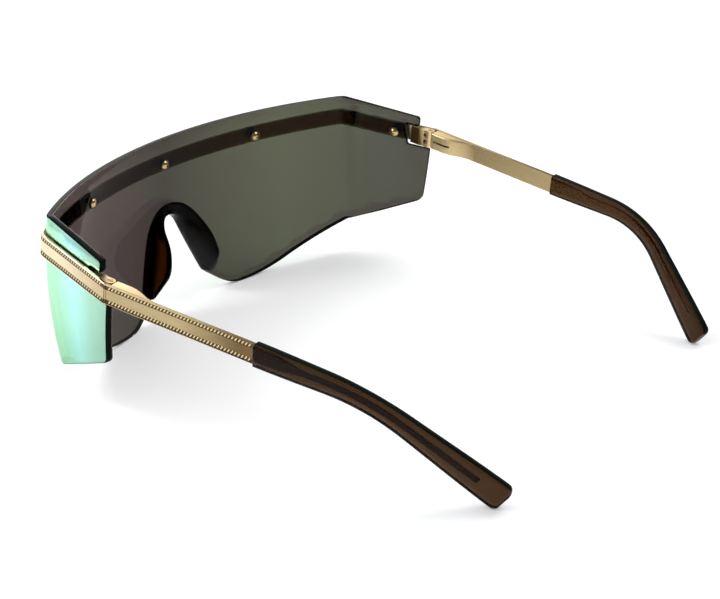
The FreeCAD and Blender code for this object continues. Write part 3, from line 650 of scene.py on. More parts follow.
def clear_brown(name, colour, density, roughness, ior):
    """See-through brown plastic that darkens with its thickness."""
    material, tree = new_material(name)
    clear = grained(tree, speckle(tree, 60.0, detail=1.0), (0.93, 0.91, 0.88), (1.0, 0.98, 0.95))
    principled(tree, Roughness=roughness, IOR=ior, Transmission_Weight=1.0, Base_Color=clear)
    absorption = add_node(tree, "VolumeAbsorption", {"Color": (*colour, 1), "Density": density})
    fill(tree, tree.nodes["Material Output"], {"Volume": absorption.outputs["Volume"]})
    return material


def moulded(name, light, dark, roughness):
    """Plain moulded plastic with a faint texture."""
    material, tree = new_material(name)
    grains = speckle(tree, 1500.0)
    colour = grained(tree, grains, dark, light)
    principled(tree, Base_Color=colour, Roughness=uneven_gloss(tree, grains, roughness))
    return material


MINT_MIRROR = mirror_coat()
SMOKE_TINT = smoke_tint()
DARK_EDGE = dark_edge()
# The hinge pieces' gold is a lighter copy of the arms' gold: painted light.
HINGE_LIT_TONES = ((0.92, 0.72, 0.40), (0.82, 0.63, 0.34), 0.42, 1200.0)
ARM_TONES = ((0.47, 0.36, 0.20), (0.40, 0.31, 0.165), 0.28, 1800.0)
# The bar's gold is a lighter copy of the arms' gold: a painted highlight.
BAR_LIT_TONES = ((0.76, 0.65, 0.46), (0.68, 0.57, 0.39), 0.24, 1800.0)
HINGE_GOLD = metal("hinge_gold", *HINGE_LIT_TONES)
HOUSING_GOLD = metal("housing_gold", *HINGE_LIT_TONES, painted_shade=(HOUSING_PAINTED_SHADE, (0.62, 0.61, 0.58)))
END_GOLD = metal("end_gold", *HINGE_LIT_TONES, painted_shade=(END_PAINTED_SHADE, (0.13, 0.10, 0.05)))
ARM_GOLD = metal("arm_gold", *ARM_TONES, True, (ARM_PAINTED_SHADE, (0.36, 0.31, 0.24)))
BAR_GOLD = metal("bar_gold", *BAR_LIT_TONES, True, (BAR_PAINTED_SHADE, (0.66, 0.60, 0.48)))
# A lighter copy of the arms' gold for the temples' inner faces: painted light.
INNER_LIT_GOLD = metal("inner_lit_gold", (0.58, 0.45, 0.24), (0.52, 0.39, 0.20), 0.42, 1200.0)
ROPE_GOLD = metal("rope_gold", (0.74, 0.60, 0.36), (0.64, 0.50, 0.28), 0.2, 900.0)
SCREW_GOLD = metal("screw_gold", (0.66, 0.49, 0.25), (0.58, 0.42, 0.20), 0.18, 1200.0)
# Dark gold of the rope channels, and painted shade in the housings' slits.
DARK_GOLD_AND_SHADE = metal("dark_gold_and_shade", (0.16, 0.11, 0.05), (0.06, 0.04, 0.015), 0.5, 1500.0)
STEEL = metal("steel", (0.62, 0.60, 0.56), (0.50, 0.48, 0.45), 0.3, 2000.0)
NYLON = moulded("nylon", (0.02, 0.018, 0.015), (0.012, 0.011, 0.01), 0.4)
# The tips' metal core shows on its outer side as dark plastic: a painted dark reflection.
CORE_PAINTED_REFLECTION = moulded("core_painted_reflection", (0.10, 0.030, 0.015), (0.07, 0.020, 0.010), 0.4)
TIP_BROWN = clear_brown("tip_brown", (0.36, 0.20, 0.0), 1350.0, 0.02, 1.2)
NOSE_BROWN = clear_brown("nose_brown", (0.49, 0.31, 0.0), 8000.0, 0.04, 1.15)


# Lens

class Plan:
    """Plan section of a face of the lens at one height: front arc, rounded crease and straight wing."""

    def __init__(self, height, offset):
        drop = bow_drop(height, offset)
        self.radius = FRONT_RADIUS + offset - drop
        distance = CREASE_HALF_WIDTH * cos(WING_SPLAY) + offset - drop
        change = 1.0 if offset > 0 else CREASE_RADIUS / LENS_THICKNESS
        self.rounding = max(CREASE_RADIUS + offset * change, SHARP_CREASE)
        axis = Vector((0, AXIS_Y))
        across = distance - self.rounding - WING_NORMAL.dot(axis)
        reach = self.radius - self.rounding
        back = WING_ALONG.dot(axis) - math.sqrt(reach ** 2 - across ** 2)
        self.centre = WING_NORMAL * (distance - self.rounding) + WING_ALONG * back
        self.front_normal = (self.centre - axis).normalized()
        self.front_end = axis + self.front_normal * self.radius
        self.wing_start = self.centre + WING_NORMAL * self.rounding

    def place(self, along):
        """Point at a distance along the left half."""
        if along <= FRONT_RUN:
            x = self.front_end.x * along / FRONT_RUN
            return Vector((x, AXIS_Y - math.sqrt(self.radius ** 2 - x ** 2)))
        if along < WING_START:
            share = (along - FRONT_RUN) / CREASE_RUN
            return self.centre + self.front_normal.slerp(WING_NORMAL, share) * self.rounding
        return self.wing_start + WING_ALONG * ((along - WING_START) / cos(WING_SPLAY))

    def along(self, x, y):
        """Distance along the left half of a point on it."""
        if x <= self.front_end.x:
            return FRONT_RUN * x / self.front_end.x
        return WING_START + y - self.wing_start.y


def lens_place(along, height, offset):
    """Point on the lens's outer face moved outward by an offset; right of the middle, along is negative."""
    x, y = Plan(height, offset).place(abs(along))
    return Vector((math.copysign(x, along), y, height))


def band_height_at(y):
    return BAR_CENTRE_HEIGHT - max(y, 0.0) * tan(BAND_SLOPE)


def slot_line(y, side):
    """Height of the wing slot's lower (-1) or upper (+1) edge."""
    room = SLOT_ABOVE_BAND if side > 0 else SLOT_BELOW_BAND
    return band_height_at(y) + side * (BAND_HEIGHT / 2 + room) / cos(BAND_SLOPE)


def wing_corners():
    """Corners of the left wing in side view, from the top of the crease round to its bottom."""
    lean = tan(REAR_EDGE_LEAN)
    slope = tan(BAND_SLOPE)
    rise = slot_line(0.0, -1) - LOWER_REAR_Z - WING_LOWER_LENGTH * slope
    lower_y = WING_LOWER_LENGTH + rise * lean / (1 + slope * lean)
    upper_y = WING_LENGTH - (UPPER_REAR_Z - slot_line(WING_LENGTH, 1)) * lean
    return [
        (Plan(LENS_TOP, 0.0).wing_start.y, LENS_TOP, 0),
        (WING_LENGTH, UPPER_REAR_Z, REAR_UPPER_ROUNDING),
        (upper_y, slot_line(upper_y, 1), SLOT_ROUNDING),
        (SLOT_FRONT, slot_line(SLOT_FRONT, 1), SLOT_ROUNDING),
        (SLOT_FRONT, slot_line(SLOT_FRONT, -1), SLOT_ROUNDING),
        (lower_y, slot_line(lower_y, -1), SLOT_ROUNDING),
        (WING_LOWER_LENGTH, LOWER_REAR_Z, REAR_LOWER_ROUNDING),
        (Plan(LOWER_CREASE_Z, 0.0).wing_start.y, LOWER_CREASE_Z, 0),
    ]


def lower_corners():
    """Corners of the lens's lower edge in front view, from the left crease to beyond the notch's peak."""
    return [
        (Plan(LOWER_CREASE_Z, 0.0).front_end.x, LOWER_CREASE_Z, 0),
        (LOBE_OUTER_X, 0, LOBE_OUTER_ROUNDING),
        (LOBE_INNER_X, 0, LOBE_INNER_ROUNDING),
        (NOTCH_FOOT_X, NOTCH_FOOT, NOTCH_FOOT_ROUNDING),
        (0, NOTCH_PEAK, NOTCH_ROUNDING),
        (-NOTCH_FOOT_X, NOTCH_FOOT, 0),
    ]


def crease_columns():
    return [FRONT_RUN + CREASE_RUN * step / CREASE_STEPS for step in range(CREASE_STEPS + 1)]


def lens_outline():
    """Closed outline of the lens as (along, height) points."""
    arch_radius = (CREASE_HALF_WIDTH ** 2 + TOP_ARCH ** 2) / (2 * TOP_ARCH)
    half = []
    for along in even_stations(0.0, FRONT_RUN):
        x = along * CREASE_HALF_WIDTH / FRONT_RUN
        half.append((along, LENS_TOP + TOP_ARCH - sagitta(arch_radius, x)))
    half += [(along, LENS_TOP) for along in crease_columns()[1:-1]]
    half += [(Plan(z, 0.0).along(CREASE_HALF_WIDTH, y), z) for y, z in rounded_path(wing_corners())]
    half += [(along, LOWER_CREASE_Z) for along in reversed(crease_columns()[1:-1])]
    lower = [point for point in rounded_path(lower_corners()) if point.x > -ON_MIDDLE]
    half += [(Plan(z, 0.0).along(x, 0.0), z) for x, z in lower]
    other = [(-along, z) for along, z in reversed(half[1:-1])]
    return [Vector(point) for point in half + other]


def inset(outline, amount):
    """Closed clockwise outline moved inward."""
    moved = []
    for before, point, after in zip(outline[-1:] + outline, outline, outline[1:] + outline[:1]):
        run = (after - before).normalized()
        moved.append(point + Vector((run.y, -run.x)) * amount)
    return moved


def is_inside(point, outline):
    inside = False
    for start, end in zip(outline, outline[1:] + outline[:1]):
        if (start.y > point.y) != (end.y > point.y):
            crossing = start.x + (point.y - start.y) / (end.y - start.y) * (end.x - start.x)
            inside ^= point.x < crossing
    return inside


def screw_places():
    """(along, height) of the five lens screws on the outer face."""
    height = band_height_at(WING_SCREW_Y)
    front = (Plan(BAR_CENTRE_HEIGHT, 0.0).along(FRONT_SCREW_X, 0.0), BAR_CENTRE_HEIGHT)
    wing = (Plan(height, 0.0).along(CREASE_HALF_WIDTH, WING_SCREW_Y), height)
    places = [(side * along, z) for side in (-1, 1) for along, z in (front, wing)]
    return places + [(0.0, BAR_CENTRE_HEIGHT)]


def hole_outlines(offset):
    """Rings round the screw holes in a face of the lens, as (along, height) points."""
    rings = []
    for along, height in screw_places():
        outer = lens_place(along, height, 0.0)
        point = outer + (lens_place(along, height, 1.0) - outer).normalized() * offset
        centre = Vector((math.copysign(Plan(point.z, offset).along(abs(point.x), point.y), along), point.z))
        rings.append([centre + Vector((cos(turn), sin(turn))) * HOLE_RADIUS for turn in HOLE_TURNS])
    return rings


def grid_points(outline, holes):
    """Points inside the outline and clear of its edge and holes."""
    edge = outline + [point for hole in holes for point in hole]
    tree = kdtree.KDTree(len(edge))
    for index, point in enumerate(edge):
        tree.insert(point.to_3d(), index)
    tree.balance()
    steps = int(FRONT_RUN / GRID_STEP)
    columns = [FRONT_RUN * step / steps for step in range(steps)] + crease_columns()
    columns += [WING_START + GRID_STEP * step for step in range(1, int(WING_LENGTH / GRID_STEP) + 1)]
    columns += [-along for along in columns if along > 0]
    rows = [GRID_STEP * step for step in range(int((LENS_TOP + TOP_ARCH) / GRID_STEP) + 1)]
    places = [Vector((along, height)) for along in columns for height in rows]
    clear = [place for place in places if tree.find(place.to_3d())[2] > GRID_STEP / 2]
    return [place for place in clear if is_inside(place, outline)]


def lens_sheet(mesh, outline, offset, finish):
    """One face of the lens; returns the indices of its edge and of its holes."""
    holes = hole_outlines(offset)
    points = []
    edges = []
    spans = []
    for loop in [outline] + holes:
        span = list(range(len(points), len(points) + len(loop)))
        spans.append(span)
        edges += zip(span, span[1:] + span[:1])
        points += loop
    points += grid_points(outline, holes)
    found, _, triangles, origins, _, _ = geometry.delaunay_2d_cdt(points, edges, [], 1, MERGE_DISTANCE)
    indices = mesh.add([lens_place(point.x, point.y, offset) for point in found])
    centres = [sum(hole, Vector((0, 0))) / len(hole) for hole in holes]
    for triangle in triangles:
        middle = sum((found[corner] for corner in triangle), Vector((0, 0))) / 3
        if all((middle - centre).length > HOLE_RADIUS for centre in centres):
            mesh.face([indices[corner] for corner in triangle], finish)
    index_of = {origin: indices[index] for index, group in enumerate(origins) for origin in group}
    return [[index_of[place] for place in span] for span in spans]


def squared(outline, depth):
    """The outline as it stands at a depth in the lens, where the rim is cut square to the wings."""
    moved = []
    for point in outline:
        outer = Plan(point.y, 0.0).wing_start.y
        inner = Plan(point.y, -depth).wing_start.y
        share = limited((abs(point.x) - WING_START) / SQUARE_RUN)
        shift = (outer - inner - WING_NORMAL.y * depth) * eased(share)
        moved.append(Vector((point.x + math.copysign(shift, point.x), point.y)))
    return moved


def shield_lens():
    mesh = Mesh()
    outline = lens_outline()
    outer = lens_sheet(mesh, inset(outline, OUTER_EDGE), 0.0, MIRROR_SIDE)
    inner_edge = squared(inset(outline, INNER_EDGE), LENS_THICKNESS)
    inner = lens_sheet(mesh, inner_edge, -LENS_THICKNESS, SMOKE_SIDE)
    outer_shoulder = OUTER_EDGE * (1 - cos(RIM_TURN))
    inner_shoulder = INNER_EDGE * (1 - cos(RIM_TURN))
    wall = [
        (outer_shoulder, outer_shoulder),
        (0.0, OUTER_EDGE),
        (0.0, LENS_THICKNESS - INNER_EDGE),
        (inner_shoulder, LENS_THICKNESS - inner_shoulder),
    ]
    rings = [outer[0]]
    for inward, depth in wall:
        edge = squared(inset(outline, inward), depth)
        rings.append(mesh.add([lens_place(point.x, point.y, -depth) for point in edge]))
    rings.append(inner[0])
    sides = (RIM_SIDE, RIM_SIDE, RIM_SIDE, SMOKE_SIDE, SMOKE_SIDE)
    for ring, other, finish in zip(rings, rings[1:], sides):
        mesh.bridge(ring, other, finish)
    for ring, other in zip(outer[1:], inner[1:]):
        mesh.bridge(ring, other, RIM_SIDE)
    finishes = [MINT_MIRROR, SMOKE_TINT, DARK_EDGE]
    piece = make_piece("lens_shield", mesh, LENS_FRAME, finishes, "front")
    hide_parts("shield_lens")


# Brow bar and temples

def band_profile(thickness, sunk):
    """(out, up) points round the band's section; sunk is 1 where its outer face is carved, else 0."""
    half = BAND_HEIGHT / 2
    floor = thickness - ROPE_DEPTH * sunk
    field = thickness - FIELD_DEPTH * sunk
    rim = half - BAND_RIM
    upper = [
        (field, rim - ROPE_WIDTH),
        (floor, rim - ROPE_WIDTH + CHANNEL_WALL),
        (floor, rim - CHANNEL_WALL),
        (thickness, rim),
        (thickness, half - BAND_EDGE),
        (thickness - BAND_EDGE, half),
        (BAND_EDGE, half),
        (0.0, half - BAND_EDGE),
    ]
    return both_halves(upper)


def band_finishes(inner):
    """Finish of each side of the band's section: the rope channels are dark, the inner face is as given."""
    sides = len(band_profile(1.0, 1))
    channels = (0, 1, 2, sides - 4, sides - 3, sides - 2)
    finishes = [DARK if side in channels else PLAIN for side in range(sides)]
    finishes[sides // 2 - 1] = inner
    return finishes


def strand(mesh, centre, along, up):
    """One raised strand of a rope border, on a face with these two directions."""
    long_axis = (up * cos(ROPE_SLANT) + along * sin(ROPE_SLANT)) * STRAND_HALF_LENGTH
    wide_axis = (along * cos(ROPE_SLANT) - up * sin(ROPE_SLANT)) * STRAND_HALF_WIDTH
    high_axis = along.cross(up) * ROPE_DEPTH
    rings = []
    for tilt in STRAND_TILTS:
        middle = centre + high_axis * sin(tilt)
        around = [long_axis * cos(turn) + wide_axis * sin(turn) for turn in STRAND_TURNS]
        rings.append([middle + side * cos(tilt) for side in around])
    mesh.loft(rings)


def rope_places(start, end):
    """(distance, height) of each strand of the two rope borders of a band."""
    count = round((end - start) / ROPE_PITCH)
    height = BAND_HEIGHT / 2 - BAND_RIM - ROPE_WIDTH / 2
    distances = [between(start, end, (index + 0.5) / count) for index in range(count)]
    return [(distance, side * height) for side in (1, -1) for distance in distances]


def bar_place(along, offset, height):
    """Point of the bar: along the lens, outward from it, and up from the band's centre line."""
    y = lens_place(along, BAR_CENTRE_HEIGHT, offset).y
    stretch = 1 / cos(BAND_SLOPE) if y > 0 else 1
    return lens_place(along, band_height_at(y) + height * stretch, offset)


def on_joint_plane(point, run):
    """Point moved along a direction on to the plane where the bar ends."""
    joint = LENS_FRAME.inverted() @ JOINT_FRAME
    centre = joint @ Vector((0, -JOINT_GAP / 2, 0))
    normal = joint.to_3x3() @ Vector((0, 1, 0))
    return point + run * ((centre - point).dot(normal) / run.dot(normal))


def brow_bar():
    mesh = Mesh()
    stations = even_stations(0.0, FRONT_RUN)[:-1] + crease_columns()
    stations += [WING_START + GRID_STEP * step for step in BAR_WING_STEPS]
    last = stations[-1]

    def section(along, sunk):
        profile = band_profile(BAR_THICKNESS, sunk)
        return [bar_place(along, BAR_STANDOFF + out, up) for out, up in profile]

    rings = [section(along, 1) for along in stations]
    onward = bar_place(last + 1, 0.0, 0.0) - bar_place(last, 0.0, 0.0)
    for sunk, short in ((1, END_RIM), (0, END_RIM - CHANNEL_WALL), (0, 0.0)):
        run = (rings[-1][0] - rings[-2][0]).normalized()
        rings.append([on_joint_plane(point, onward) - run * short for point in section(last, sunk)])
    mirrored = [[MIRROR @ point for point in ring] for ring in reversed(rings[1:])]
    mesh.loft(mirrored + rings, band_finishes(PLAIN))
    piece = make_piece("bar_band", mesh, LENS_FRAME, [BAR_GOLD, DARK_GOLD_AND_SHADE], "front")
    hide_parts("brow_bar")


def bar_rope():
    """Rope borders of the brow bar, left half drawn and mirrored."""
    mesh = Mesh()
    end = WING_START + JOINT_Y - Plan(BAR_CENTRE_HEIGHT, BAR_OUTER).wing_start.y - END_RIM - ROPE_WIDTH / 2
    step = SIDE_STEP
    for place, height in rope_places(0.0, end):
        centre = bar_place(place, BAR_OUTER - ROPE_DEPTH, height)
        along = bar_place(place + step, BAR_OUTER, height) - bar_place(place - step, BAR_OUTER, height)
        up = bar_place(place, BAR_OUTER, height + step) - bar_place(place, BAR_OUTER, height - step)
        strand(mesh, centre, along.normalized(), up.normalized())
    start = len(mesh.points)
    mesh.points += [MIRROR @ point for point in mesh.points]
    mesh.faces += [[start + corner for corner in face] for face in mesh.faces]
    mesh.finishes += mesh.finishes
    make_piece("bar_rope", mesh, LENS_FRAME, [ROPE_GOLD], "front", ROPE_SHARP_ANGLE)


def path_place(distance):
    """Point, outward and upward direction of the temple's centre line, at a distance from the joint."""
    toward = Vector((-sin(BEND_ROLL), 0, -cos(BEND_ROLL)))
    forward = Vector((0, 1, 0))
    turned = limited((distance - TEMPLE_TO_BEND) / BEND_LENGTH) * BEND_ANGLE
    turn = Quaternion(forward.cross(toward), math.radians(turned))
    point = Vector((-TEMPLE_THICKNESS / 2, min(distance, TEMPLE_TO_BEND), 0))
    point += forward * (BEND_RADIUS * sin(turned)) + toward * (BEND_RADIUS * (1 - cos(turned)))
    point += turn @ forward * max(distance - BEND_END, 0.0)
    return point, turn @ Vector((1, 0, 0)), turn @ Vector((0, 0, 1))


def path_ring(distance, height, thickness, rounding):
    """Rounded rectangle across the temple's centre line."""
    point, out, up = path_place(distance)
    return [point + out * x + up * z for x, z in rounded_rectangle(thickness / 2, height / 2, rounding)]


def ring_finishes(middles, reach, chosen, other):
    """Finish of each side of a rounded rectangle: chosen within reach of the middle sides, else other."""
    sides = 4 * CORNER_STEPS
    near = [(middle + step) % sides for middle in middles for step in range(-reach, reach + 1)]
    return [chosen if side in near else other for side in range(sides)]


def core_rings():
    """Sections of the temple's core inside the tip: a flat that tapers to a wire."""
    flat_end = TEMPLE_TO_SLEEVE + CORE_FLAT_LENGTH
    rings = []
    for distance in even_stations(TEMPLE_TO_SLEEVE, TEMPLE_END - CORE_SHORT_OF_END):
        share = limited((distance - flat_end) / CORE_TAPER_LENGTH)
        height = between(CORE_HEIGHT, CORE_WIRE_HEIGHT, share)
        rings.append(path_ring(distance, height, CORE_THICKNESS, CORE_ROUNDING))
    return rings


def temple_band():
    """The visible metal of a temple, with the core that runs on into the tip."""
    mesh = Mesh()
    start = JOINT_GAP / 2
    stations = [
        (start, 0),
        (start + END_RIM - CHANNEL_WALL, 0),
        (start + END_RIM, 1),
        (TEMPLE_TO_SLEEVE - END_RIM, 1),
        (TEMPLE_TO_SLEEVE - END_RIM + CHANNEL_WALL, 0),
        (TEMPLE_TO_SLEEVE, 0),
    ]
    rings = []
    for y, sunk in stations:
        profile = band_profile(TEMPLE_THICKNESS, sunk)
        rings.append([Vector((out - TEMPLE_THICKNESS, y, up)) for out, up in profile])
    mesh.loft(rings, band_finishes(BAND_INNER))
    mesh.loft(core_rings(), ring_finishes((RING_INNER,), CORE_INNER_REACH, CORE_INNER, CORE_OUTER))
    return mesh


def temple_rope():
    mesh = Mesh()
    plain = END_RIM + ROPE_WIDTH / 2
    for place, height in rope_places(JOINT_GAP / 2 + plain, TEMPLE_TO_SLEEVE - plain):
        strand(mesh, Vector((-ROPE_DEPTH, place, height)), Vector((0, 1, 0)), Vector((0, 0, 1)))
    return mesh


def housing_ring(y, sunk):
    """Section of a spring housing at a distance behind the joint; sunk is 1 where the slit is, else 0."""
    share = eased(limited((y - HOUSING_FULL) / (HOUSING_END - HOUSING_FULL)))
    depth = between(HOUSING_DEPTH, TEMPLE_THICKNESS + HOUSING_LEFT, share)
    rounding = min(HOUSING_EDGE, (depth - TEMPLE_THICKNESS) / 2)
    half = BAND_HEIGHT / 2 - HOUSING_INSET
    upper = [(TEMPLE_THICKNESS, half)]
    for angle in HOUSING_TURNS:
        upper.append((depth - rounding * (1 - sin(angle)), half - rounding * (1 - cos(angle))))
    upper += [(depth, SLIT_WIDTH / 2), (depth - SLIT_DEPTH * sunk, SLIT_WIDTH / 2 - SLIT_WALL)]
    return [Vector((-x, y, z)) for x, z in both_halves(upper)]


def spring_housing():
    """Box on the inside of a temple's front end, with a slit, that runs out into the temple."""
    mesh = Mesh()
    stations = [
        (HOUSING_START, 0),
        (SLIT_START - SLIT_WALL, 0),
        (SLIT_START, 1),
        (HOUSING_FULL, 1),
        ((HOUSING_FULL + SLIT_END) / 2, 1),
        (SLIT_END - SLIT_WALL, 1),
        (SLIT_END, 0),
    ]
    for step in range(1, HOUSING_STEPS + 1):
        stations.append((between(SLIT_END, HOUSING_END, step / HOUSING_STEPS), 0))
    rings = [mesh.add(housing_ring(y, sunk)) for y, sunk in stations]
    sides = len(rings[0])
    slit = (sides // 2 - 2, sides // 2 - 1, sides // 2)
    for index in range(len(rings) - 1):
        sunk = stations[index][1] or stations[index + 1][1]
        # The slit's sides are painted dark: painted shade in the slit.
        finishes = [DARK if sunk and side in slit else PLAIN for side in range(sides)]
        mesh.bridge(rings[index], rings[index + 1], finishes)
    mesh.face(rings[0])
    mesh.face(rings[-1])
    return mesh


def sleeve_height(distance):
    """Height of the sleeve, eased from its front to its waist and on to its end."""
    end = TEMPLE_TO_SLEEVE if distance < WAIST else TEMPLE_END
    height = SLEEVE_START_HEIGHT if distance < WAIST else SLEEVE_END_HEIGHT
    return between(SLEEVE_WAIST_HEIGHT, height, eased((distance - WAIST) / (end - WAIST)))


def fallen(rounding, from_end):
    """How far a rounded end has fallen in, at a distance from the end."""
    return sagitta(rounding, max(rounding - from_end, 0.0))


def temple_tip():
    mesh = Mesh()
    front = [TEMPLE_TO_SLEEVE, TEMPLE_TO_SLEEVE + SLEEVE_FRONT_BEVEL]
    body = even_stations(front[-1], TEMPLE_END - SLEEVE_END_ROUNDING)[1:]
    turns = [90 * step / TIP_END_STEPS for step in range(1, TIP_END_STEPS + 1)]
    end = [TEMPLE_END - SLEEVE_END_ROUNDING * (1 - sin(turn)) for turn in turns]
    rings = []
    for distance in front + body + end:
        bevel = max(SLEEVE_FRONT_BEVEL - (distance - TEMPLE_TO_SLEEVE), 0.0)
        from_end = TEMPLE_END - distance
        height = sleeve_height(distance) - 2 * (bevel + fallen(SLEEVE_END_ROUNDING, from_end))
        thickness = SLEEVE_THICKNESS - 2 * (bevel + fallen(SLEEVE_FACE_ROUNDING, from_end))
        rings.append(path_ring(distance, height, thickness, SLEEVE_ROUNDING))
    mesh.loft(rings, ring_finishes((RING_TOP, RING_BOTTOM), TIP_EDGE_REACH, DARK, PLAIN))
    return mesh


def temples():
    for side, to_frame in (("left", JOINT_FRAME), ("right", MIRROR @ JOINT_FRAME)):
        body = side + "_temple_arm"
        finishes = [ARM_GOLD, DARK_GOLD_AND_SHADE, CORE_PAINTED_REFLECTION, SCREW_GOLD, INNER_LIT_GOLD]
        band = make_piece(side + "_arm", temple_band(), to_frame, finishes, body)
        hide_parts(side + "_temple")
        rope = temple_rope()
        make_piece(side + "_arm_rope", rope, to_frame, [ROPE_GOLD], body, ROPE_SHARP_ANGLE)
        finishes = [TIP_BROWN, DARK_EDGE]
        tip = make_piece(side + "_sleeve", temple_tip(), to_frame, finishes, body)
        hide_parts(side + "_temple_tip")
        finishes = [HOUSING_GOLD, DARK_GOLD_AND_SHADE]
        box = make_piece(side + "_spring_box", spring_housing(), to_frame, finishes, body)
        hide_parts(side + "_spring_housing")


# Nose bridge

def crest(height):
    """Out and back of the rear rim's crest at a height, on a smooth curve through the given places."""
    rows = [Vector(row) for row in PAD_CREST]
    final = len(rows) - 1
    index = next((i for i in range(final) if height >= rows[i + 1].x), final - 1)
    before, start, end, after = (rows[min(max(index + step, 0), final)] for step in (-1, 0, 1, 2))
    run = end.x - start.x
    share = limited((height - start.x) / run)
    leaving = (end - before) * (run / (end.x - before.x))
    arriving = (after - start) * (run / (after.x - start.x))
    curve = start.lerp(end, eased(share))
    curve += leaving * (share * (1 - share) ** 2)
    curve -= arriving * (share ** 2 * (1 - share))
    return curve.yz


def bridge_section(height):
    """(out from the notch edge, back from the lens's rear face) points round the bridge."""
    out, back = crest(height)
    bead = min(PAD_BEAD, back * BEAD_LIMIT)
    thinned = eased(limited((PAD_CREST[0][0] - height) / ARCH_FADE))
    flange = between(ARCH_FLANGE, FLANK_FLANGE, thinned)
    front = -LENS_THICKNESS - BRIDGE_LIP_THICKNESS

    def inner(share):
        return between(-BRIDGE_LINING, out - bead, share), back * share

    def thinning(share, place):
        """From a place on the solid arch's rear face to its place on the thin pads."""
        solid = Vector((between(flange, out + bead, share), back * share))
        return tuple(solid.lerp(Vector(place), thinned))

    def wall(share):
        return inner(share)[0] + PAD_WALL, back * share

    strip = flange - FLANGE_STRIP
    root = inner(PAD_ROOT)[0] + PAD_ROOT_WALL
    thin = [(strip, FLANGE_EDGE), (strip - STRIP_FALL, FLANGE_THIN), (root, FLANGE_THIN + ROOT_RISE)]
    thin += [wall(share) for share in PAD_WALL_SHARES]
    return [
        (-BRIDGE_LINING, front),
        (BRIDGE_LIP - LIP_DRAFT, front),
        (BRIDGE_LIP, -LENS_THICKNESS),
        (0.0, -LENS_THICKNESS),
        (0.0, 0.0),
        (flange, 0.0),
        (flange - FLANGE_DRAFT, min(FLANGE_EDGE, back * FLANGE_LIMIT)),
        *[thinning(share, place) for share, place in zip(ARCH_SHARES, thin)],
        (out + bead, back - bead),
        (out + bead / 2, back),
        (out - bead / 2, back),
        (out - bead, back - bead),
        *[inner(share) for share in PAD_INNER_SHARES],
    ]


def nose_bridge():
    """One saddle with two pads, drawn along the notch's edge from foot to foot."""
    mesh = Mesh()
    path = rounded_path(lower_corners()[-3:])
    rings = []
    for index, point in enumerate(path):
        before = path[max(index - 1, 0)]
        after = path[min(index + 1, len(path) - 1)]
        run = (after - before).normalized()
        outward = Vector((run.y, -run.x))
        ring = []
        for out, back in bridge_section(point.y):
            x, z = point + outward * out
            radius = Plan(z, -LENS_THICKNESS).radius
            ring.append(Vector((x, AXIS_Y - math.sqrt(radius ** 2 - x ** 2) + back, z)))
        rings.append(ring)
    mesh.loft(rings)
    finishes = [NOSE_BROWN]
    piece = make_piece("nose_saddle_pads", mesh, LENS_FRAME, finishes, "front", ALL_SMOOTH)
    smooth = piece.modifiers.new("smooth", "SUBSURF")
    smooth.levels = SMOOTH_LEVELS
    smooth.render_levels = SMOOTH_LEVELS
    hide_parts("nose_bridge")


# Small CAD pieces, kept and finished

def finish_node(name, material, bevel):
    """Gives a CAD piece its material and a bevel."""
    node = frame["nodes"][name]
    node.data.materials.clear()
    node.data.materials.append(material)
    softened = node.modifiers.new("edges", "BEVEL")
    softened.width = bevel * MM
    softened.segments = BEVEL_SEGMENTS
    softened.limit_method = "ANGLE"
    softened.angle_limit = math.radians(SHARP_ANGLE)


def small_pieces():
    finish_node("lens_screws", SCREW_GOLD, SOFT_EDGE)
    finish_node("lens_bushes", NYLON, FINE_EDGE)
    finish_node("bar_spacers", NYLON, FINE_EDGE)
    for side in ("left_", "right_"):
        finish_node(side + "end_piece", END_GOLD, SOFT_EDGE)
        finish_node(side + "hinge_screw", SCREW_GOLD, FINE_EDGE)
        finish_node(side + "hinge_slider", HINGE_GOLD, FINE_EDGE)
        finish_node(side + "spring_collar", STEEL, COLLAR_EDGE)
        finish_node(side + "hinge_spring", STEEL, 0.0)


# Floor, light and camera

def seen_directly(tree):
    """1 for rays from the camera, off glossy surfaces or through clear ones, else 0."""
    paths = add_node(tree, "LightPath", {})
    total = paths.outputs["Is Camera Ray"]
    for kind in ("Is Glossy Ray", "Is Transmission Ray"):
        total = calculated(tree, "MAXIMUM", total, paths.outputs[kind])
    return total


def floor():
    data = bpy.data.meshes.new("floor")
    signs = ((-1, -1), (1, -1), (1, 1), (-1, 1))
    data.from_pydata([(x * FLOOR_REACH, y * FLOOR_REACH, 0) for x, y in signs], [], [(0, 1, 2, 3)])
    material, tree = new_material("floor_white")
    paper = grained(tree, speckle(tree, 400.0), (0.91, 0.91, 0.91), (0.93, 0.93, 0.93))
    glow = calculated(tree, "MULTIPLY", seen_directly(tree), FLOOR_GLOW)
    principled(tree, Roughness=0.9, Specular_IOR_Level=0.0, Base_Color=paper)
    principled(tree, Emission_Color=(1, 1, 1, 1), Emission_Strength=glow)
    data.materials.append(material)
    piece = add_object("floor", data)


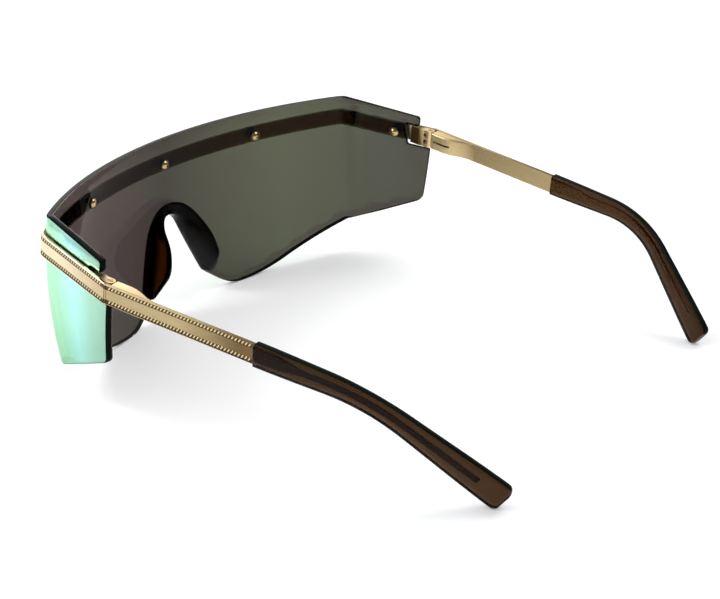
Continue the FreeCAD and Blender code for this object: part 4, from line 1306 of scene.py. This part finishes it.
def world():
    """White backdrop, with a dark ceiling in the reflections, and a softer white for the light."""
    made = bpy.data.worlds.new("studio")
    made.use_nodes = True
    tree = made.node_tree
    place = add_node(tree, "TexCoord", {}).outputs["Generated"]
    toward = add_node(tree, "VectorMath", {0: place, 1: CEILING}, operation="DOT_PRODUCT")
    shade = mapped_range(tree, toward.outputs["Value"], CEILING_START, CEILING_FULL, 1.0, CEILING_LEVEL)
    seen = add_node(tree, "LightPath", {}).outputs["Is Camera Ray"]
    soft = tree.nodes["Background"]
    fill(tree, soft, {"Color": SKY_COLOUR, "Strength": SKY_LEVEL})
    strength = calculated(tree, "MAXIMUM", shade, seen)
    white = add_node(tree, "Background", {"Color": (1, 1, 1, 1), "Strength": strength})
    shaders = {"Fac": seen_directly(tree), 1: soft.outputs[0], 2: white.outputs[0]}
    mix = add_node(tree, "MixShader", shaders)
    fill(tree, tree.nodes["World Output"], {"Surface": mix.outputs[0]})
    bpy.context.scene.world = made


def lamp(name, place, size, power, target=LAMP_TARGET):
    data = bpy.data.lights.new(name, "AREA")
    data.size = size
    data.energy = power
    piece = add_object(name, data)
    piece.location = place
    piece.rotation_euler = (Vector(target) - Vector(place)).to_track_quat("-Z", "Y").to_euler()


def lamps():
    lamp("key", (-0.5, 0.4, 0.9), 0.5, 3.0)
    lamp("fill", (0.7, -0.5, 0.7), 0.8, 1.5)
    lamp("front", (0.24, -0.34, 0.36), 0.15, 0.6, (0.15, -0.2, 0.0))
    lamp("rim", (-0.62, -0.72, 0.40), 0.4, 0.8)


def camera():
    data = bpy.data.cameras.new("camera")
    data.lens = CAMERA_LENS
    data.sensor_width = CAMERA_SENSOR
    data.clip_start = CAMERA_CLIP
    piece = add_object("camera", data)
    turn = Matrix.Rotation(math.radians(CAMERA_AZIMUTH), 4, "Z")
    turn @= Matrix.Rotation(math.radians(90 - CAMERA_ELEVATION), 4, "X")
    turn @= Matrix.Rotation(math.radians(CAMERA_ROLL), 4, "Z")
    piece.matrix_world = Matrix.Translation(LENS_FRAME @ CAMERA_PLACE) @ turn
    bpy.context.scene.camera = piece


shield_lens()
brow_bar()
bar_rope()
temples()
nose_bridge()
small_pieces()
floor()
world()
lamps()
camera()
bpy.context.scene.view_settings.view_transform = "Standard"
